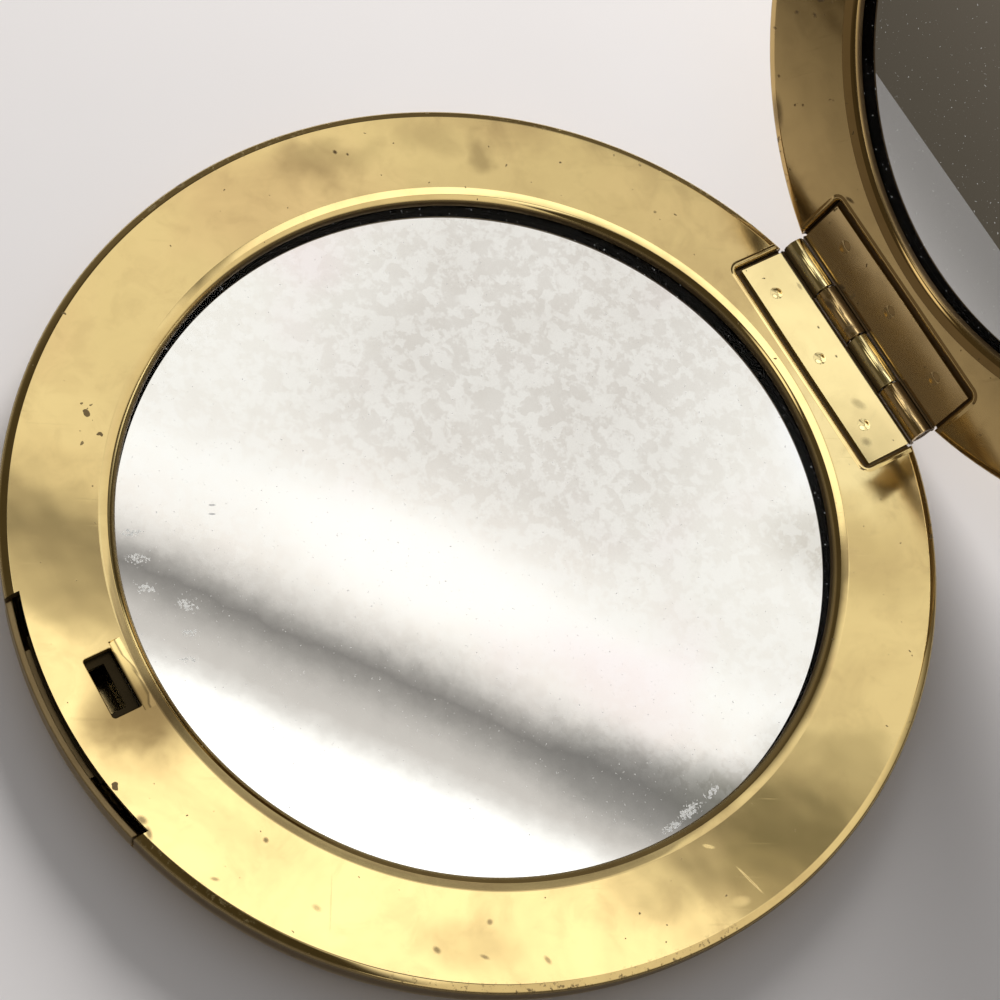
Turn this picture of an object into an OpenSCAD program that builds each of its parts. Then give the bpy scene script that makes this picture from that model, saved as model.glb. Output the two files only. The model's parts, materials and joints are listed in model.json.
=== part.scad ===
// Round brass compact with a mirror in each half, shown with its lid standing open.
// The origin is the centre of the base's flat back. X runs along the hinge, Y towards it, Z up.
// Each half is modelled lying on its back, and the lid half is then turned over the hinge pin.

/* [Case] */
// Distance from the shell's rim in to the flat on its back
back_round = 4.75; // [3.8:0.05:5.7]
// Sheet thickness of the inner frames
sheet_t = 0.45; // [0.4:0.05:0.5]
// Wall thickness of the outer shells
shell_t = 0.5; // [0.4:0.05:0.6]
// Step from the rolled rim in to the shell below it
shell_step = 0.6; // [0.5:0.05:0.8]
// Depth of the frame's skirt inside the shell
skirt_h = 0.8; // [0.6:0.1:1]
// Radial gap between the skirt and the shell
skirt_gap = 0.05; // [0.03:0.01:0.08]
// Gap left between pieces that are seated on each other
seat_gap = 0.02; // [0.01:0.01:0.03]
// Angle of the open lid, from closed
lid_open = 117; // [90:1:135]

/* [Mirror] */
// Radius of the opening that shows the mirror
opening_r = 27.4; // [22:0.1:34]
// Radius of the lip rolled down round the mirror
lip_r = 0.9; // [0.7:0.05:0.95]
// How far the mirror reaches under the lip
glass_lap = 1.1; // [0.9:0.05:1.4]
// Thickness of the mirror's glass
glass_t = 1.4; // [1.1:0.1:1.6]
// Thickness of the silvering and its paint
silver_t = 0.08; // [0.05:0.01:0.1]
// How far the backing card reaches past the mirror
pad_lap = 0.5; // [0.2:0.1:0.6]
// Thickness of the backing card, which sets the height of each half
card_t = 1.66; // [1.4:0.02:2.4]

/* [Hinge] */
// Length of the hinge
leaf_w = 19; // [16:0.5:20]
// Width of a hinge leaf, from its inner edge to the pin
leaf_d = 5.1; // [4.8:0.1:5.3]
// Sheet thickness of the hinge leaves
leaf_t = 0.4; // [0.35:0.05:0.45]
// Radius of the hinge pin
pin_r = 0.45; // [0.4:0.01:0.48]
// Running clearance round the pin
pin_clear = 0.04; // [0.02:0.01:0.06]
// Distance from the rim in to the pin
pin_inset = 0.45; // [0.35:0.05:0.6]
// Gap between the two faces when the case is closed
face_gap = 0.2; // [0.15:0.05:0.3]
// Gap between neighbouring knuckles
knuckle_gap = 0.16; // [0.1:0.02:0.24]
// Room left round the barrel for the other half to swing
swing_gap = 0.25; // [0.2:0.05:0.3]
// Gap between a leaf's end and the wall of its pocket
pocket_side = 0.3; // [0.2:0.05:0.5]
// Gap between a leaf's inner edge and the wall of its pocket
pocket_back = 0.7; // [0.4:0.05:0.8]
// Corner radius of the pocket
pocket_corner_r = 0.5; // [0.3:0.05:0.8]
// Radius of the studs that hold a leaf
stud_r = 0.4; // [0.3:0.05:0.45]
// Distance between neighbouring studs
stud_pitch = 6.5; // [5:0.25:7]
// Distance from a leaf's inner edge to its studs
stud_inset = 1.55; // [1.2:0.05:2]

/* [Latch] */
// How far the latch lies to the left of the middle
latch_shift = 0.8; // [0:0.1:1.2]
// Distance from the mirror's edge to the latch slot
slot_margin = 1; // [0.95:0.05:1.3]
// Width of the latch slot
slot_w = 4.8; // [4:0.1:5.4]
// Clearance round the hook in the slot
slot_gap = 0.45; // [0.4:0.05:0.5]
// Length of the ramp pressed into the slot's inner edge
ramp_l = 0.9; // [0.7:0.05:0.9]
// Depth of the ramp
ramp_d = 0.25; // [0.15:0.05:0.25]
// Width of the hook
hook_w = 3; // [2:0.1:3.2]
// Gap between the hook's barb and the plate's edge beside its stem
stem_gap = 0.45; // [0.3:0.05:0.5]
// How far the hook's foot reaches past each side of the hook
hook_wing = 1.7; // [1.5:0.1:2]
// Length of the hook's foot
hook_foot_l = 2.85; // [2.6:0.05:3.1]
// Distance from the ends of a riveted piece to its rivets
rivet_inset = 0.8; // [0.7:0.05:1]
// Height of the hook's tip above the lid's face
hook_h = 2.25; // [2.15:0.05:2.5]
// How far the catch overlaps the hook's barb
catch_lap = 0.4; // [0.3:0.05:0.5]
// Travel of the push button
press = 0.8; // [0.6:0.05:0.8]
// Width of the catch plate
catch_w = 12; // [10:0.5:12.5]
// Distance from the catch plate's window to the spring's flange
catch_land = 0.83; // [0.7:0.01:1.2]
// Length of the ledge that the catch plate is riveted to
ledge_l = 1.75; // [1.6:0.05:2.2]
// Length of the rails
rail_l = 2.8; // [2.4:0.1:3]
// Sheet thickness of the rails
rail_t = 0.5; // [0.4:0.05:0.6]
// How far each rail's lip reaches under the catch plate
rail_lip = 0.75; // [0.6:0.05:0.9]
// Width of the push button
button_w = 19.4; // [17:0.2:20]
// Height of the push button
button_h = 2.05; // [1.8:0.05:2.2]
// Wall thickness of the push button
button_t = 0.5; // [0.4:0.05:0.6]
// How far the push button stands proud of the shell
button_proud = 0.2; // [0.1:0.05:0.25]
// Gap round the push button
button_gap = 0.2; // [0.15:0.05:0.3]
// Gap round the latch's other sliding pieces
slide_gap = 0.1; // [0.08:0.01:0.15]
// Thickness of the latch spring
spring_t = 0.2; // [0.15:0.05:0.3]
// Width of the latch spring
spring_w = 0.9; // [0.6:0.1:1]
// Radius of the rivets in the latch
rivet_r = 0.28; // [0.24:0.02:0.34]
// Radius of the rivets' heads
rivet_head_r = 0.45; // [0.38:0.01:0.5]

/* [Hidden] */
$fn = 96;
// Cutting tools reach this far past what they cut
over = 1;
// Steps in a quarter of a rolled edge
arc_steps = 12;

// Depths are measured down from a half's face
rim_d = 2 * sheet_t;
shell_rim_d = rim_d + seat_gap;
glass_d = lip_r + seat_gap;
silver_d = glass_d + glass_t;
pad_d = silver_d + silver_t + seat_gap;
half_h = pad_d + card_t + seat_gap + shell_t;
glass_r = opening_r + glass_lap;
pad_r = glass_r + pad_lap;

// Latch, measured from the centre outwards to the front: its pieces set the size of the case
slot_in = glass_r + slot_margin;
barb_tip = slot_in + slot_gap;
catch_edge = barb_tip + catch_lap;
stem_in = catch_edge + stem_gap;
stem_out = stem_in + sheet_t;
slot_out = stem_out + slot_gap;
window_out = stem_out + press + 3 * slide_gap;
flange_r = window_out + catch_land;
plate_out_r = flange_r + ledge_l;
button_r = plate_out_r + seat_gap + button_t;

// Case, from the button out to the rolled rim
shell_rim_r = button_r - button_proud;
case_r = shell_rim_r + shell_step;
back_flat_r = shell_rim_r - back_round;
skirt_r = shell_in_r_at(rim_d + skirt_h) - skirt_gap;
skirt_in_r = skirt_r - sheet_t;

// Hinge: the pin lies in the plane between the two closed faces
pin_y = case_r - pin_inset;
pin_z = half_h + face_gap / 2;
barrel_r = pin_r + pin_clear + leaf_t;
knuckles = 4;
knuckle_l = leaf_w / knuckles;
leaf_in_y = pin_y - leaf_d;
leaf_edge_y = pin_y - barrel_r - knuckle_gap;
pocket_w = leaf_w + 2 * pocket_side;
pocket_y = leaf_in_y - pocket_back;
pocket_d = barrel_r - face_gap / 2 + seat_gap;
notch_y = pin_y - barrel_r - swing_gap;
notch_d = barrel_r + swing_gap - face_gap / 2;
stud_y = leaf_in_y + stud_inset;
stud_hole_r = stud_r + seat_gap;
stud_head_h = stud_r * 0.3;
stud_head_r = stud_r + stud_head_h;
pin_end_gap = pin_clear;

// Catch plate, rails, button and spring
plate_t = sheet_t;
plate_d = sheet_t + ramp_d + slide_gap;
bar_in = glass_r + press + 3 * slide_gap;
window_w = hook_w + 6 * slide_gap;
ledge_d = plate_d + plate_t + seat_gap;
ledge_t = sheet_t;
button_d = sheet_t + slide_gap;
front_w = button_w + 2 * button_gap;
face_cut_r = plate_out_r - button_gap;
under_cut_r = skirt_in_r - button_gap;
flange_h = spring_w + slide_gap;
ledge_half = catch_w / 2 - rivet_inset;
wall_in_r = shell_r_at(ledge_d + ledge_t + sheet_t) + button_proud - button_t;
rivet_ring_r = (flange_r + ledge_t + wall_in_r) / 2;
rivet_x = ledge_half - rivet_inset;
rivet_head_h = sheet_t / 3;
rail_x = catch_w / 2 + slide_gap;
rail_in = bar_in + sheet_t;
rail_out = rail_in + rail_l;
rail_lip_d = plate_d + plate_t + slide_gap;
rail_lip_t = leaf_t;
spring_d = ledge_d + ledge_t + slide_gap;
spring_end = rail_in + rail_t + spring_t / 2 + seat_gap;
spring_apex = flange_r - spring_t / 2 - slide_gap / 2;
spring_half = rail_x + rail_t / 2;
spring_bow = spring_apex - spring_end;
spring_r = (spring_half * spring_half + spring_bow * spring_bow) / (2 * spring_bow);

// Hook
hook_foot_w = hook_w + 2 * hook_wing;
hook_rivet_x = hook_foot_w / 2 - rivet_inset;
hook_rivet_y = stem_out + (hook_foot_l - sheet_t) / 2;
barb_top = face_gap + plate_d + plate_t + slide_gap;
barb_tip_h = slide_gap;

// Height, above the back of a half, of a point at a depth below its face
function up(depth) = half_h - depth;

// Points along an arc, from one angle to another
function arc(centre, r, from, to, n = arc_steps) =
    [for (i = [0:n]) let (a = from + (to - from) * i / n) [centre[0] + r * cos(a), centre[1] + r * sin(a)]];

// Quarter ellipse of a shell's side, drawn in by an inset, from the rim at 0 to the back at 90
function side(inset, from, to, n = 24) = [
    for (i = [0:n])
        let (a = from + (to - from) * i / n)
            [
                back_flat_r + (shell_rim_r - back_flat_r - inset) * cos(a),
                up(shell_rim_d) - (half_h - shell_rim_d - inset) * sin(a)
            ]
];

// Radius of the shell's outside at a depth below the face
function shell_r_at(depth) =
    let (s = max(0, depth - shell_rim_d) / (half_h - shell_rim_d))
        back_flat_r + (shell_rim_r - back_flat_r) * sqrt(1 - s * s);

// Radius of the shell's inside at a depth below the face
function shell_in_r_at(depth) =
    let (s = max(0, depth - shell_rim_d) / (half_h - shell_rim_d - shell_t))
        back_flat_r + (shell_rim_r - back_flat_r - shell_t) * sqrt(1 - s * s);

// Turn what is drawn in the base's place over the pin to where the open lid stands
module on_lid() {
    translate([0, pin_y, pin_z])
        rotate([180 - lid_open, 0, 0])
            translate([0, pin_y, -pin_z])
                rotate([0, 0, 180])
                    children();
}

// A block that is centred across the width, given by its extents from back to front and in height
module block(w, y0, y1, z0, z1) {
    translate([-w / 2, y0, z0])
        cube([w, y1 - y0, z1 - z0]);
}

// The same block at the front of the case, with its extents measured from the centre forwards
module front_block(w, near, far, z0, z1) {
    block(w, -far, -near, z0, z1);
}

// Room for the barrel and for the other half's rim as it swings
module hinge_notch() {
    block(pocket_w, notch_y, pin_y + barrel_r + over, up(notch_d), up(-over));
}

// Outline of the hinge pocket, rounded at its inner corners and open at the rim
module pocket_outline(grow) {
    w = pocket_w + 2 * grow;
    r = pocket_corner_r + grow;
    y = pocket_y - grow;
    translate([-w / 2, y + r])
        square([w, pin_y - y - r]);
    translate([-w / 2 + r, y])
        square([w - 2 * r, pin_y - y]);
    for (s = [-1, 1])
        translate([s * (w / 2 - r), y + r])
            circle(r);
}

module stud_places() {
    for (i = [-1:1])
        translate([i * stud_pitch, stud_y, 0])
            children();
}

// Stamped ring: lip round the mirror, flat face, rolled rim and the skirt inside the shell
module frame_ring() {
    lip_c = [opening_r + lip_r, up(lip_r)];
    rim_c = [case_r - sheet_t, up(sheet_t)];
    rotate_extrude()
        polygon(concat(
            arc(lip_c, lip_r, 180, 90),
            arc(rim_c, sheet_t, 90, -90),
            [
                [skirt_r, up(rim_d)],
                [skirt_r, up(rim_d + skirt_h)],
                [skirt_in_r, up(rim_d + skirt_h)],
                [skirt_in_r, up(sheet_t)]
            ],
            arc(lip_c, lip_r - sheet_t, 90, 180)
        ));
}

// Frame common to both halves, with its hinge pocket pressed down
module frame_body() {
    difference() {
        union() {
            frame_ring();
            intersection() {
                translate([0, 0, up(pocket_d + sheet_t)])
                    linear_extrude(pocket_d + sheet_t / 2)
                        pocket_outline(sheet_t);
                cylinder(r = skirt_in_r + sheet_t / 2, h = half_h);
            }
        }
        translate([0, 0, up(pocket_d)])
            linear_extrude(pocket_d + over)
                pocket_outline(0);
        hinge_notch();
        stud_places()
            cylinder(r = stud_hole_r, h = half_h + over);
    }
}

// Ramp that leads the hook into the slot, as a wedge with mitred ends
module ramp(top, drop) {
    intersection() {
        rotate([90, 0, -90])
            translate([0, 0, -slot_w])
                linear_extrude(2 * slot_w)
                    polygon([
                        [slot_in - ramp_l, up(0) - drop],
                        [slot_in, up(ramp_d) - drop],
                        [slot_in, up(0) + top],
                        [slot_in - ramp_l, up(0) + top]
                    ]);
        linear_extrude(2 * half_h)
            polygon([
                [-slot_w / 2 - slot_gap, -slot_in + ramp_l],
                [slot_w / 2 + slot_gap, -slot_in + ramp_l],
                [slot_w / 2, -slot_in],
                [-slot_w / 2, -slot_in]
            ]);
    }
}

module base_frame() {
    color("#cfae6b")
        difference() {
            union() {
                frame_body();
                translate([-latch_shift, 0, 0])
                    ramp(-sheet_t / 2, sheet_t);
            }
            translate([-latch_shift, 0, 0]) {
                ramp(over, 0);
                front_block(slot_w, slot_in, slot_out, up(2 * sheet_t + ramp_d), up(-over));
            }
            intersection() {
                front_block(front_w, 0, case_r + over, 0, up(-over));
                union() {
                    difference() {
                        cylinder(r = case_r + over, h = half_h + over);
                        translate([0, 0, -over])
                            cylinder(r = face_cut_r, h = half_h + 3 * over);
                    }
                    difference() {
                        cylinder(r = case_r + over, h = up(sheet_t));
                        translate([0, 0, -over])
                            cylinder(r = under_cut_r, h = half_h + 3 * over);
                    }
                }
            }
        }
}

module lid_frame() {
    color("#a98750")
        on_lid()
            difference() {
                frame_body();
                translate([latch_shift, 0, 0]) {
                    front_block(
                        hook_w + 2 * slide_gap, stem_in - slide_gap, stem_out + slide_gap,
                        up(2 * sheet_t), up(-over)
                    );
                    for (s = [-1, 1])
                        translate([s * hook_rivet_x, -hook_rivet_y, up(2 * sheet_t)])
                            cylinder(r = rivet_r + seat_gap, h = 3 * sheet_t);
                }
            }
}

// Outer shell: flat back, rounded side, and a rim that the frame's rolled edge sits on
module shell_body() {
    difference() {
        rotate_extrude()
            polygon(concat(
                [[0, 0]],
                side(0, 90, 0),
                side(shell_t, 0, 90),
                [[0, shell_t]]
            ));
        hinge_notch();
    }
}

module base_shell() {
    color("#c2a05a")
        difference() {
            shell_body();
            front_block(
                front_w, back_flat_r / 2, case_r + over,
                up(button_d + button_h + button_gap), up(-over)
            );
        }
}

module lid_shell() {
    color("#c2a05a")
        on_lid()
            shell_body();
}

module glass_body() {
    translate([0, 0, up(silver_d)])
        cylinder(r = glass_r, h = glass_t);
}

module silvering_body() {
    translate([0, 0, up(silver_d + silver_t)])
        cylinder(r = glass_r, h = silver_t);
}

module card_body() {
    translate([0, 0, up(pad_d + card_t)])
        cylinder(r = pad_r, h = card_t);
}

module base_mirror_glass() {
    color("#dfe8ea", 0.4)
        glass_body();
}

module base_mirror_silvering() {
    color("#d9dcdd")
        silvering_body();
}

module base_backing_card() {
    color("#8c8478")
        card_body();
}

module lid_mirror_glass() {
    color("#dfe8ea", 0.4)
        on_lid()
            glass_body();
}

module lid_mirror_silvering() {
    color("#d9dcdd")
        on_lid()
            silvering_body();
}

module lid_backing_card() {
    color("#8c8478")
        on_lid()
            card_body();
}

// A rod along X, centred on the pin's axis, from x0 to x1
module along_pin(r, x0, x1) {
    translate([x0, pin_y, pin_z])
        rotate([0, 90, 0])
            cylinder(r = r, h = x1 - x0);
}

// Hinge leaf with the first and third knuckles rolled on its edge
module leaf_body() {
    leaf_z = pin_z - barrel_r;
    difference() {
        union() {
            block(leaf_w, leaf_in_y, leaf_edge_y, leaf_z, leaf_z + leaf_t);
            for (k = [0, 2]) {
                x0 = -leaf_w / 2 + k * knuckle_l + (k > 0 ? knuckle_gap / 2 : 0);
                x1 = -leaf_w / 2 + (k + 1) * knuckle_l - knuckle_gap / 2;
                along_pin(barrel_r, x0, x1);
                translate([x0, leaf_edge_y - leaf_t, leaf_z])
                    cube([x1 - x0, pin_y - leaf_edge_y + leaf_t, leaf_t]);
            }
        }
        along_pin(pin_r + pin_clear, -leaf_w, leaf_w);
        stud_places()
            cylinder(r = stud_hole_r, h = half_h + over);
    }
}

module base_hinge_leaf() {
    color("#e8d08e")
        leaf_body();
}

module lid_hinge_leaf() {
    color("#b3945a")
        on_lid()
            leaf_body();
}

// Studs that are peened over on the leaf and headed under the pocket's floor
module studs_body() {
    leaf_top_d = pocket_d - seat_gap - leaf_t;
    under_d = pocket_d + sheet_t + seat_gap;
    stud_places() {
        translate([0, 0, up(under_d + stud_head_h)])
            cylinder(r = stud_head_r, h = stud_head_h);
        translate([0, 0, up(under_d)])
            cylinder(r = stud_r, h = under_d - leaf_top_d + seat_gap);
        translate([0, 0, up(leaf_top_d) + seat_gap])
            rotate_extrude()
                polygon(concat(
                    [[0, 0]],
                    [for (i = [0:8]) [stud_head_r * cos(i * 11.25), stud_head_h * sin(i * 11.25)]]
                ));
    }
}

module base_leaf_studs() {
    color("#f0dc9c")
        studs_body();
}

module lid_leaf_studs() {
    color("#b3945a")
        on_lid()
            studs_body();
}

module hinge_pin() {
    color("#b08d4f")
        along_pin(pin_r, -leaf_w / 2 + pin_end_gap, leaf_w / 2 - pin_end_gap);
}

// Two folded rails under the frame, in which the catch plate slides, with posts for the spring
module catch_rails() {
    post_d = spring_d + spring_w;
    color("#9b8a62")
        translate([-latch_shift, 0, 0])
            for (s = [-1, 1])
                {
                    x_in = s > 0 ? rail_x : -rail_x - rail_t;
                    x_lip = s > 0 ? rail_x - rail_lip : -rail_x - rail_t;
                    translate([x_in, -rail_out, up(rail_lip_d + rail_lip_t)])
                        cube([rail_t, rail_out - rail_in, rail_lip_d + rail_lip_t - sheet_t - seat_gap]);
                    translate([x_lip, -rail_out, up(rail_lip_d + rail_lip_t)])
                        cube([rail_lip + rail_t, rail_out - rail_in, rail_lip_t]);
                    translate([x_in, -rail_in - rail_t, up(post_d)])
                        cube([rail_t, rail_t, post_d - rail_lip_d]);
                }
}

// Bowed strip spring between the rails' posts and the button's flange
module latch_spring() {
    half_angle = asin(spring_half / spring_r);
    color("#8d8f91")
        translate([-latch_shift, -spring_apex + spring_r, up(spring_d + spring_w)])
            rotate([0, 0, -90 - half_angle])
                rotate_extrude(angle = 2 * half_angle)
                    translate([spring_r - spring_t / 2, 0])
                        square([spring_t, spring_w]);
}

// Thumb piece: a wall that follows the rim, with a ledge for the catch plate and a flange
module push_button() {
    wall = [
        for (i = [0:8])
            let (depth = button_d + button_h * i / 8)
                [shell_r_at(depth) + button_proud, up(depth)]
    ];
    wall_in = [for (i = [8:-1:0]) [wall[i][0] - button_t, wall[i][1]]];
    color("#a88b4c") {
        intersection() {
            rotate_extrude()
                polygon(concat(wall, wall_in));
            front_block(button_w, back_flat_r / 2, case_r + over, 0, half_h);
        }
        intersection() {
            rotate_extrude()
                polygon([
                    [flange_r, up(ledge_d)],
                    [button_r - button_t / 2, up(ledge_d)],
                    [button_r - button_t / 2, up(ledge_d + ledge_t)],
                    [flange_r + ledge_t, up(ledge_d + ledge_t)],
                    [flange_r + ledge_t, up(ledge_d + ledge_t + flange_h)],
                    [flange_r, up(ledge_d + ledge_t + flange_h)]
                ]);
            difference() {
                translate([-latch_shift, 0, 0])
                    front_block(2 * ledge_half, back_flat_r / 2, case_r + over, 0, half_h);
                catch_rivet_places()
                    cylinder(r = rivet_r + seat_gap, h = half_h);
            }
        }
    }
}

module catch_rivet_places() {
    for (s = [-1, 1]) {
        x = s * rivet_x - latch_shift;
        translate([x, -sqrt(rivet_ring_r * rivet_ring_r - x * x), 0])
            children();
    }
}

// Sliding plate whose inner bar holds the hook's barb
module catch_plate() {
    color("#94866a")
        difference() {
            intersection() {
                translate([0, 0, up(plate_d + plate_t)])
                    cylinder(r = plate_out_r - 2 * seat_gap, h = plate_t);
                translate([-latch_shift, 0, 0])
                    front_block(catch_w, bar_in, case_r, 0, half_h);
            }
            translate([-latch_shift, 0, 0])
                front_block(window_w, catch_edge, window_out, 0, half_h);
            catch_rivet_places()
                cylinder(r = rivet_r + seat_gap, h = half_h);
        }
}

// A rivet with a head at each end, standing between two depths
module rivet(top_d, bottom_d) {
    translate([0, 0, up(bottom_d)])
        cylinder(r = rivet_r, h = bottom_d - top_d);
    for (z = [up(top_d), up(bottom_d) - rivet_head_h])
        translate([0, 0, z])
            cylinder(r = rivet_head_r, h = rivet_head_h);
}

module catch_rivets() {
    color("#b79a5b")
        catch_rivet_places()
            rivet(plate_d - seat_gap, ledge_d + ledge_t + seat_gap);
}

// Hook: a foot behind the lid's frame, a tongue through it, and a barb that points inwards
module latch_hook() {
    foot_top = up(sheet_t + seat_gap);
    color("#b3945a")
        on_lid()
            translate([latch_shift, 0, 0]) {
                difference() {
                    front_block(
                        hook_foot_w, stem_in, stem_in + hook_foot_l,
                        foot_top - sheet_t, foot_top
                    );
                    for (s = [-1, 1])
                        translate([s * hook_rivet_x, -hook_rivet_y, 0])
                            cylinder(r = rivet_r + seat_gap, h = half_h);
                }
                rotate([90, 0, -90])
                    translate([0, 0, -hook_w / 2])
                        linear_extrude(hook_w)
                            polygon([
                                [stem_out, foot_top - sheet_t / 2],
                                [stem_out, up(0) + hook_h],
                                [stem_in, up(0) + hook_h],
                                [barb_tip, up(0) + barb_top + barb_tip_h],
                                [barb_tip, up(0) + barb_top],
                                [stem_in, up(0) + barb_top],
                                [stem_in, foot_top - sheet_t / 2]
                            ]);
            }
}

module hook_rivets() {
    color("#b3945a")
        on_lid()
            for (s = [-1, 1])
                translate([latch_shift + s * hook_rivet_x, -hook_rivet_y, 0])
                    hook_rivet();
}

// Rivet with a low head on the lid's face and a taller one under the hook's foot
module hook_rivet() {
    foot_d = 2 * sheet_t + 2 * seat_gap;
    translate([0, 0, up(foot_d)])
        cylinder(r = rivet_r, h = foot_d + seat_gap);
    translate([0, 0, up(-seat_gap)])
        cylinder(r = rivet_head_r, h = face_gap / 2);
    translate([0, 0, up(foot_d) - rivet_head_h])
        cylinder(r = rivet_head_r, h = rivet_head_h);
}

base_shell();
base_frame();
base_mirror_glass();
base_mirror_silvering();
base_backing_card();
base_hinge_leaf();
base_leaf_studs();
hinge_pin();
catch_rails();
latch_spring();
push_button();
catch_plate();
catch_rivets();
lid_shell();
lid_frame();
lid_mirror_glass();
lid_mirror_silvering();
lid_backing_card();
lid_hinge_leaf();
lid_leaf_studs();
latch_hook();
hook_rivets();
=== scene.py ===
"""Round brass compact with two mirrors: smooth stamped metal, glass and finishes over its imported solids.

Lengths inside the shape functions are in millimetres and become metres when a mesh is made. Each half of
the case is worked out as it lies on its back, with its face up, and the lid's half is then turned over the
hinge pin to where the open lid stands.
"""
import json
import math
from contextlib import contextmanager

import bmesh
import bpy
import numpy as np
from bpy.props import FloatProperty, FloatVectorProperty, PointerProperty
from mathutils import Matrix, Vector


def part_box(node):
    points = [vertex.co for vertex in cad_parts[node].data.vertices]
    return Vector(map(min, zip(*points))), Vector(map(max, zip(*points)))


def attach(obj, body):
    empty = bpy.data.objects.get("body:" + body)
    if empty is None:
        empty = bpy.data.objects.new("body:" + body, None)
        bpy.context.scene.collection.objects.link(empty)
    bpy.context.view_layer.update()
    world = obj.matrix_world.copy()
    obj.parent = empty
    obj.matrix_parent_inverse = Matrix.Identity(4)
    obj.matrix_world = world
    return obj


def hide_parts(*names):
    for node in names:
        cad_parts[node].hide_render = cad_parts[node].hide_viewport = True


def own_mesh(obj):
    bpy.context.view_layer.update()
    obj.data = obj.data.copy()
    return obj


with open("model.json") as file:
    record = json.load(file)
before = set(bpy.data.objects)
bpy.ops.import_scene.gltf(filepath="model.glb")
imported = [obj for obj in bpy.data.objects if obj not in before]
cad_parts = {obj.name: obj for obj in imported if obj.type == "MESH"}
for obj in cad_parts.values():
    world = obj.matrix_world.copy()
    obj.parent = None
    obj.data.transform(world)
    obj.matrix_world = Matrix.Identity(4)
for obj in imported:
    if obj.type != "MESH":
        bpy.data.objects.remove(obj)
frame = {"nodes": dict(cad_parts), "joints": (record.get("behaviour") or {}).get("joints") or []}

bl_info = {
    "name": "Round Brass Compact",
    "version": (1, 0, 0),
    "blender": (4, 5, 0),
    "location": "View3D > Sidebar > Compact",
    "description": "Stamped brass, mirrors, hinge and latch of a round compact, with its studio stage",
    "category": "Object",
}

# One millimetre in metres and in centimetres
MM, CM = 0.001, 0.1
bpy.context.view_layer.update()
HINGE = next(j for j in frame["joints"] if j["name"] == "lid_hinge")
PIN = np.array(HINGE["pos_m"]) / MM
LID_OPEN = -HINGE["range_deg"][0]
CREASE = 32.0


def node_size(name, axis):
    """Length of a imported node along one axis, in millimetres."""
    low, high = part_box(name)
    return (high[axis] - low[axis]) / MM


RIM_R = node_size("base_frame", 0) / 2
FACE_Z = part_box("base_frame")[1][2] / MM
SHELL_R = node_size("base_shell", 0) / 2
GLASS_R = node_size("base_mirror_glass", 0) / 2
GLASS_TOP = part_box("base_mirror_glass")[1][2] / MM
SILVER_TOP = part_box("base_mirror_silvering")[1][2] / MM
SILVER_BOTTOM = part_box("base_mirror_silvering")[0][2] / MM
LEAF_W = node_size("base_hinge_leaf", 0)
LEAF_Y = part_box("base_hinge_leaf")[0][1] / MM
LEAF_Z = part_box("base_hinge_leaf")[0][2] / MM
BARREL_R = PIN[2] - LEAF_Z


# ---------------------------------------------------------------------------
# Shapes worked out with numpy


def arc(centre, radius, start, stop, count):
    """Points on a circle: centre plus radius times (cosine, sine), from the start angle to the stop angle."""
    angle = np.radians(np.linspace(start, stop, count + 1))
    return np.column_stack((centre[0] + radius * np.cos(angle), centre[1] + radius * np.sin(angle)))


def grid_faces(rows, columns, wrap_rows, wrap_columns):
    """Quads between neighbours of a grid whose points are numbered row by row."""
    r = np.arange(rows if wrap_rows else rows - 1)[:, None]
    c = np.arange(columns if wrap_columns else columns - 1)[None, :]
    r2, c2 = (r + 1) % rows, (c + 1) % columns
    quads = np.stack(np.broadcast_arrays(r * columns + c, r2 * columns + c, r2 * columns + c2, r * columns + c2), -1)
    return quads.reshape(-1, 4).tolist()


def revolve(profile, steps=360, closed=True):
    """Ring of revolution: point (r, z) of the profile at angle a goes to (r cos a, r sin a, z)."""
    angle = np.linspace(0, 2 * np.pi, steps, endpoint=False)[:, None]
    r, z = profile[:, 0][None, :], profile[:, 1][None, :]
    points = np.stack((r * np.cos(angle), r * np.sin(angle), np.broadcast_to(z, (steps, len(profile)))), -1)
    return points.reshape(-1, 3), grid_faces(steps, len(profile), True, closed)


def loft(rings):
    """Solid through a stack of closed rings with equal counts: each ring joins the next, and both ends are capped."""
    rings = np.asarray(rings, float)
    count, size = rings.shape[:2]
    faces = grid_faces(count, size, False, True)
    faces += [list(range(size))[::-1], list(range((count - 1) * size, count * size))]
    return rings.reshape(-1, 3), faces


def at_height(outline, z):
    """Points of a flat outline, lifted to a height."""
    outline = np.asarray(outline, float)
    return np.column_stack((outline, np.full(len(outline), z)))


def prism(outline, low, high):
    """Solid that carries a flat outline straight up from one height to another."""
    return loft([at_height(outline, z) for z in (low, high)])


def block(x0, x1, y0, y1, z0, z1):
    """Box between two corners."""
    return prism([(x0, y0), (x1, y0), (x1, y1), (x0, y1)], z0, z1)


def along_x(outline, x0, x1):
    """Solid that carries an outline in the (y, z) plane from x0 to x1."""
    outline = np.asarray(outline, float)
    return loft([np.column_stack((np.full(len(outline), x), outline)) for x in (x0, x1)])


def rounded_box(x0, x1, y0, y1, corner, grow=0.0, count=8):
    """Outline of a rectangle with round corners; growing it moves every side and corner outwards alike."""
    sides = ((x1 - corner, y1 - corner, 0), (x0 + corner, y1 - corner, 90),
             (x0 + corner, y0 + corner, 180), (x1 - corner, y0 + corner, 270))
    return np.vstack([arc((x, y), corner + grow, a, a + 90, count) for x, y, a in sides])


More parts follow.
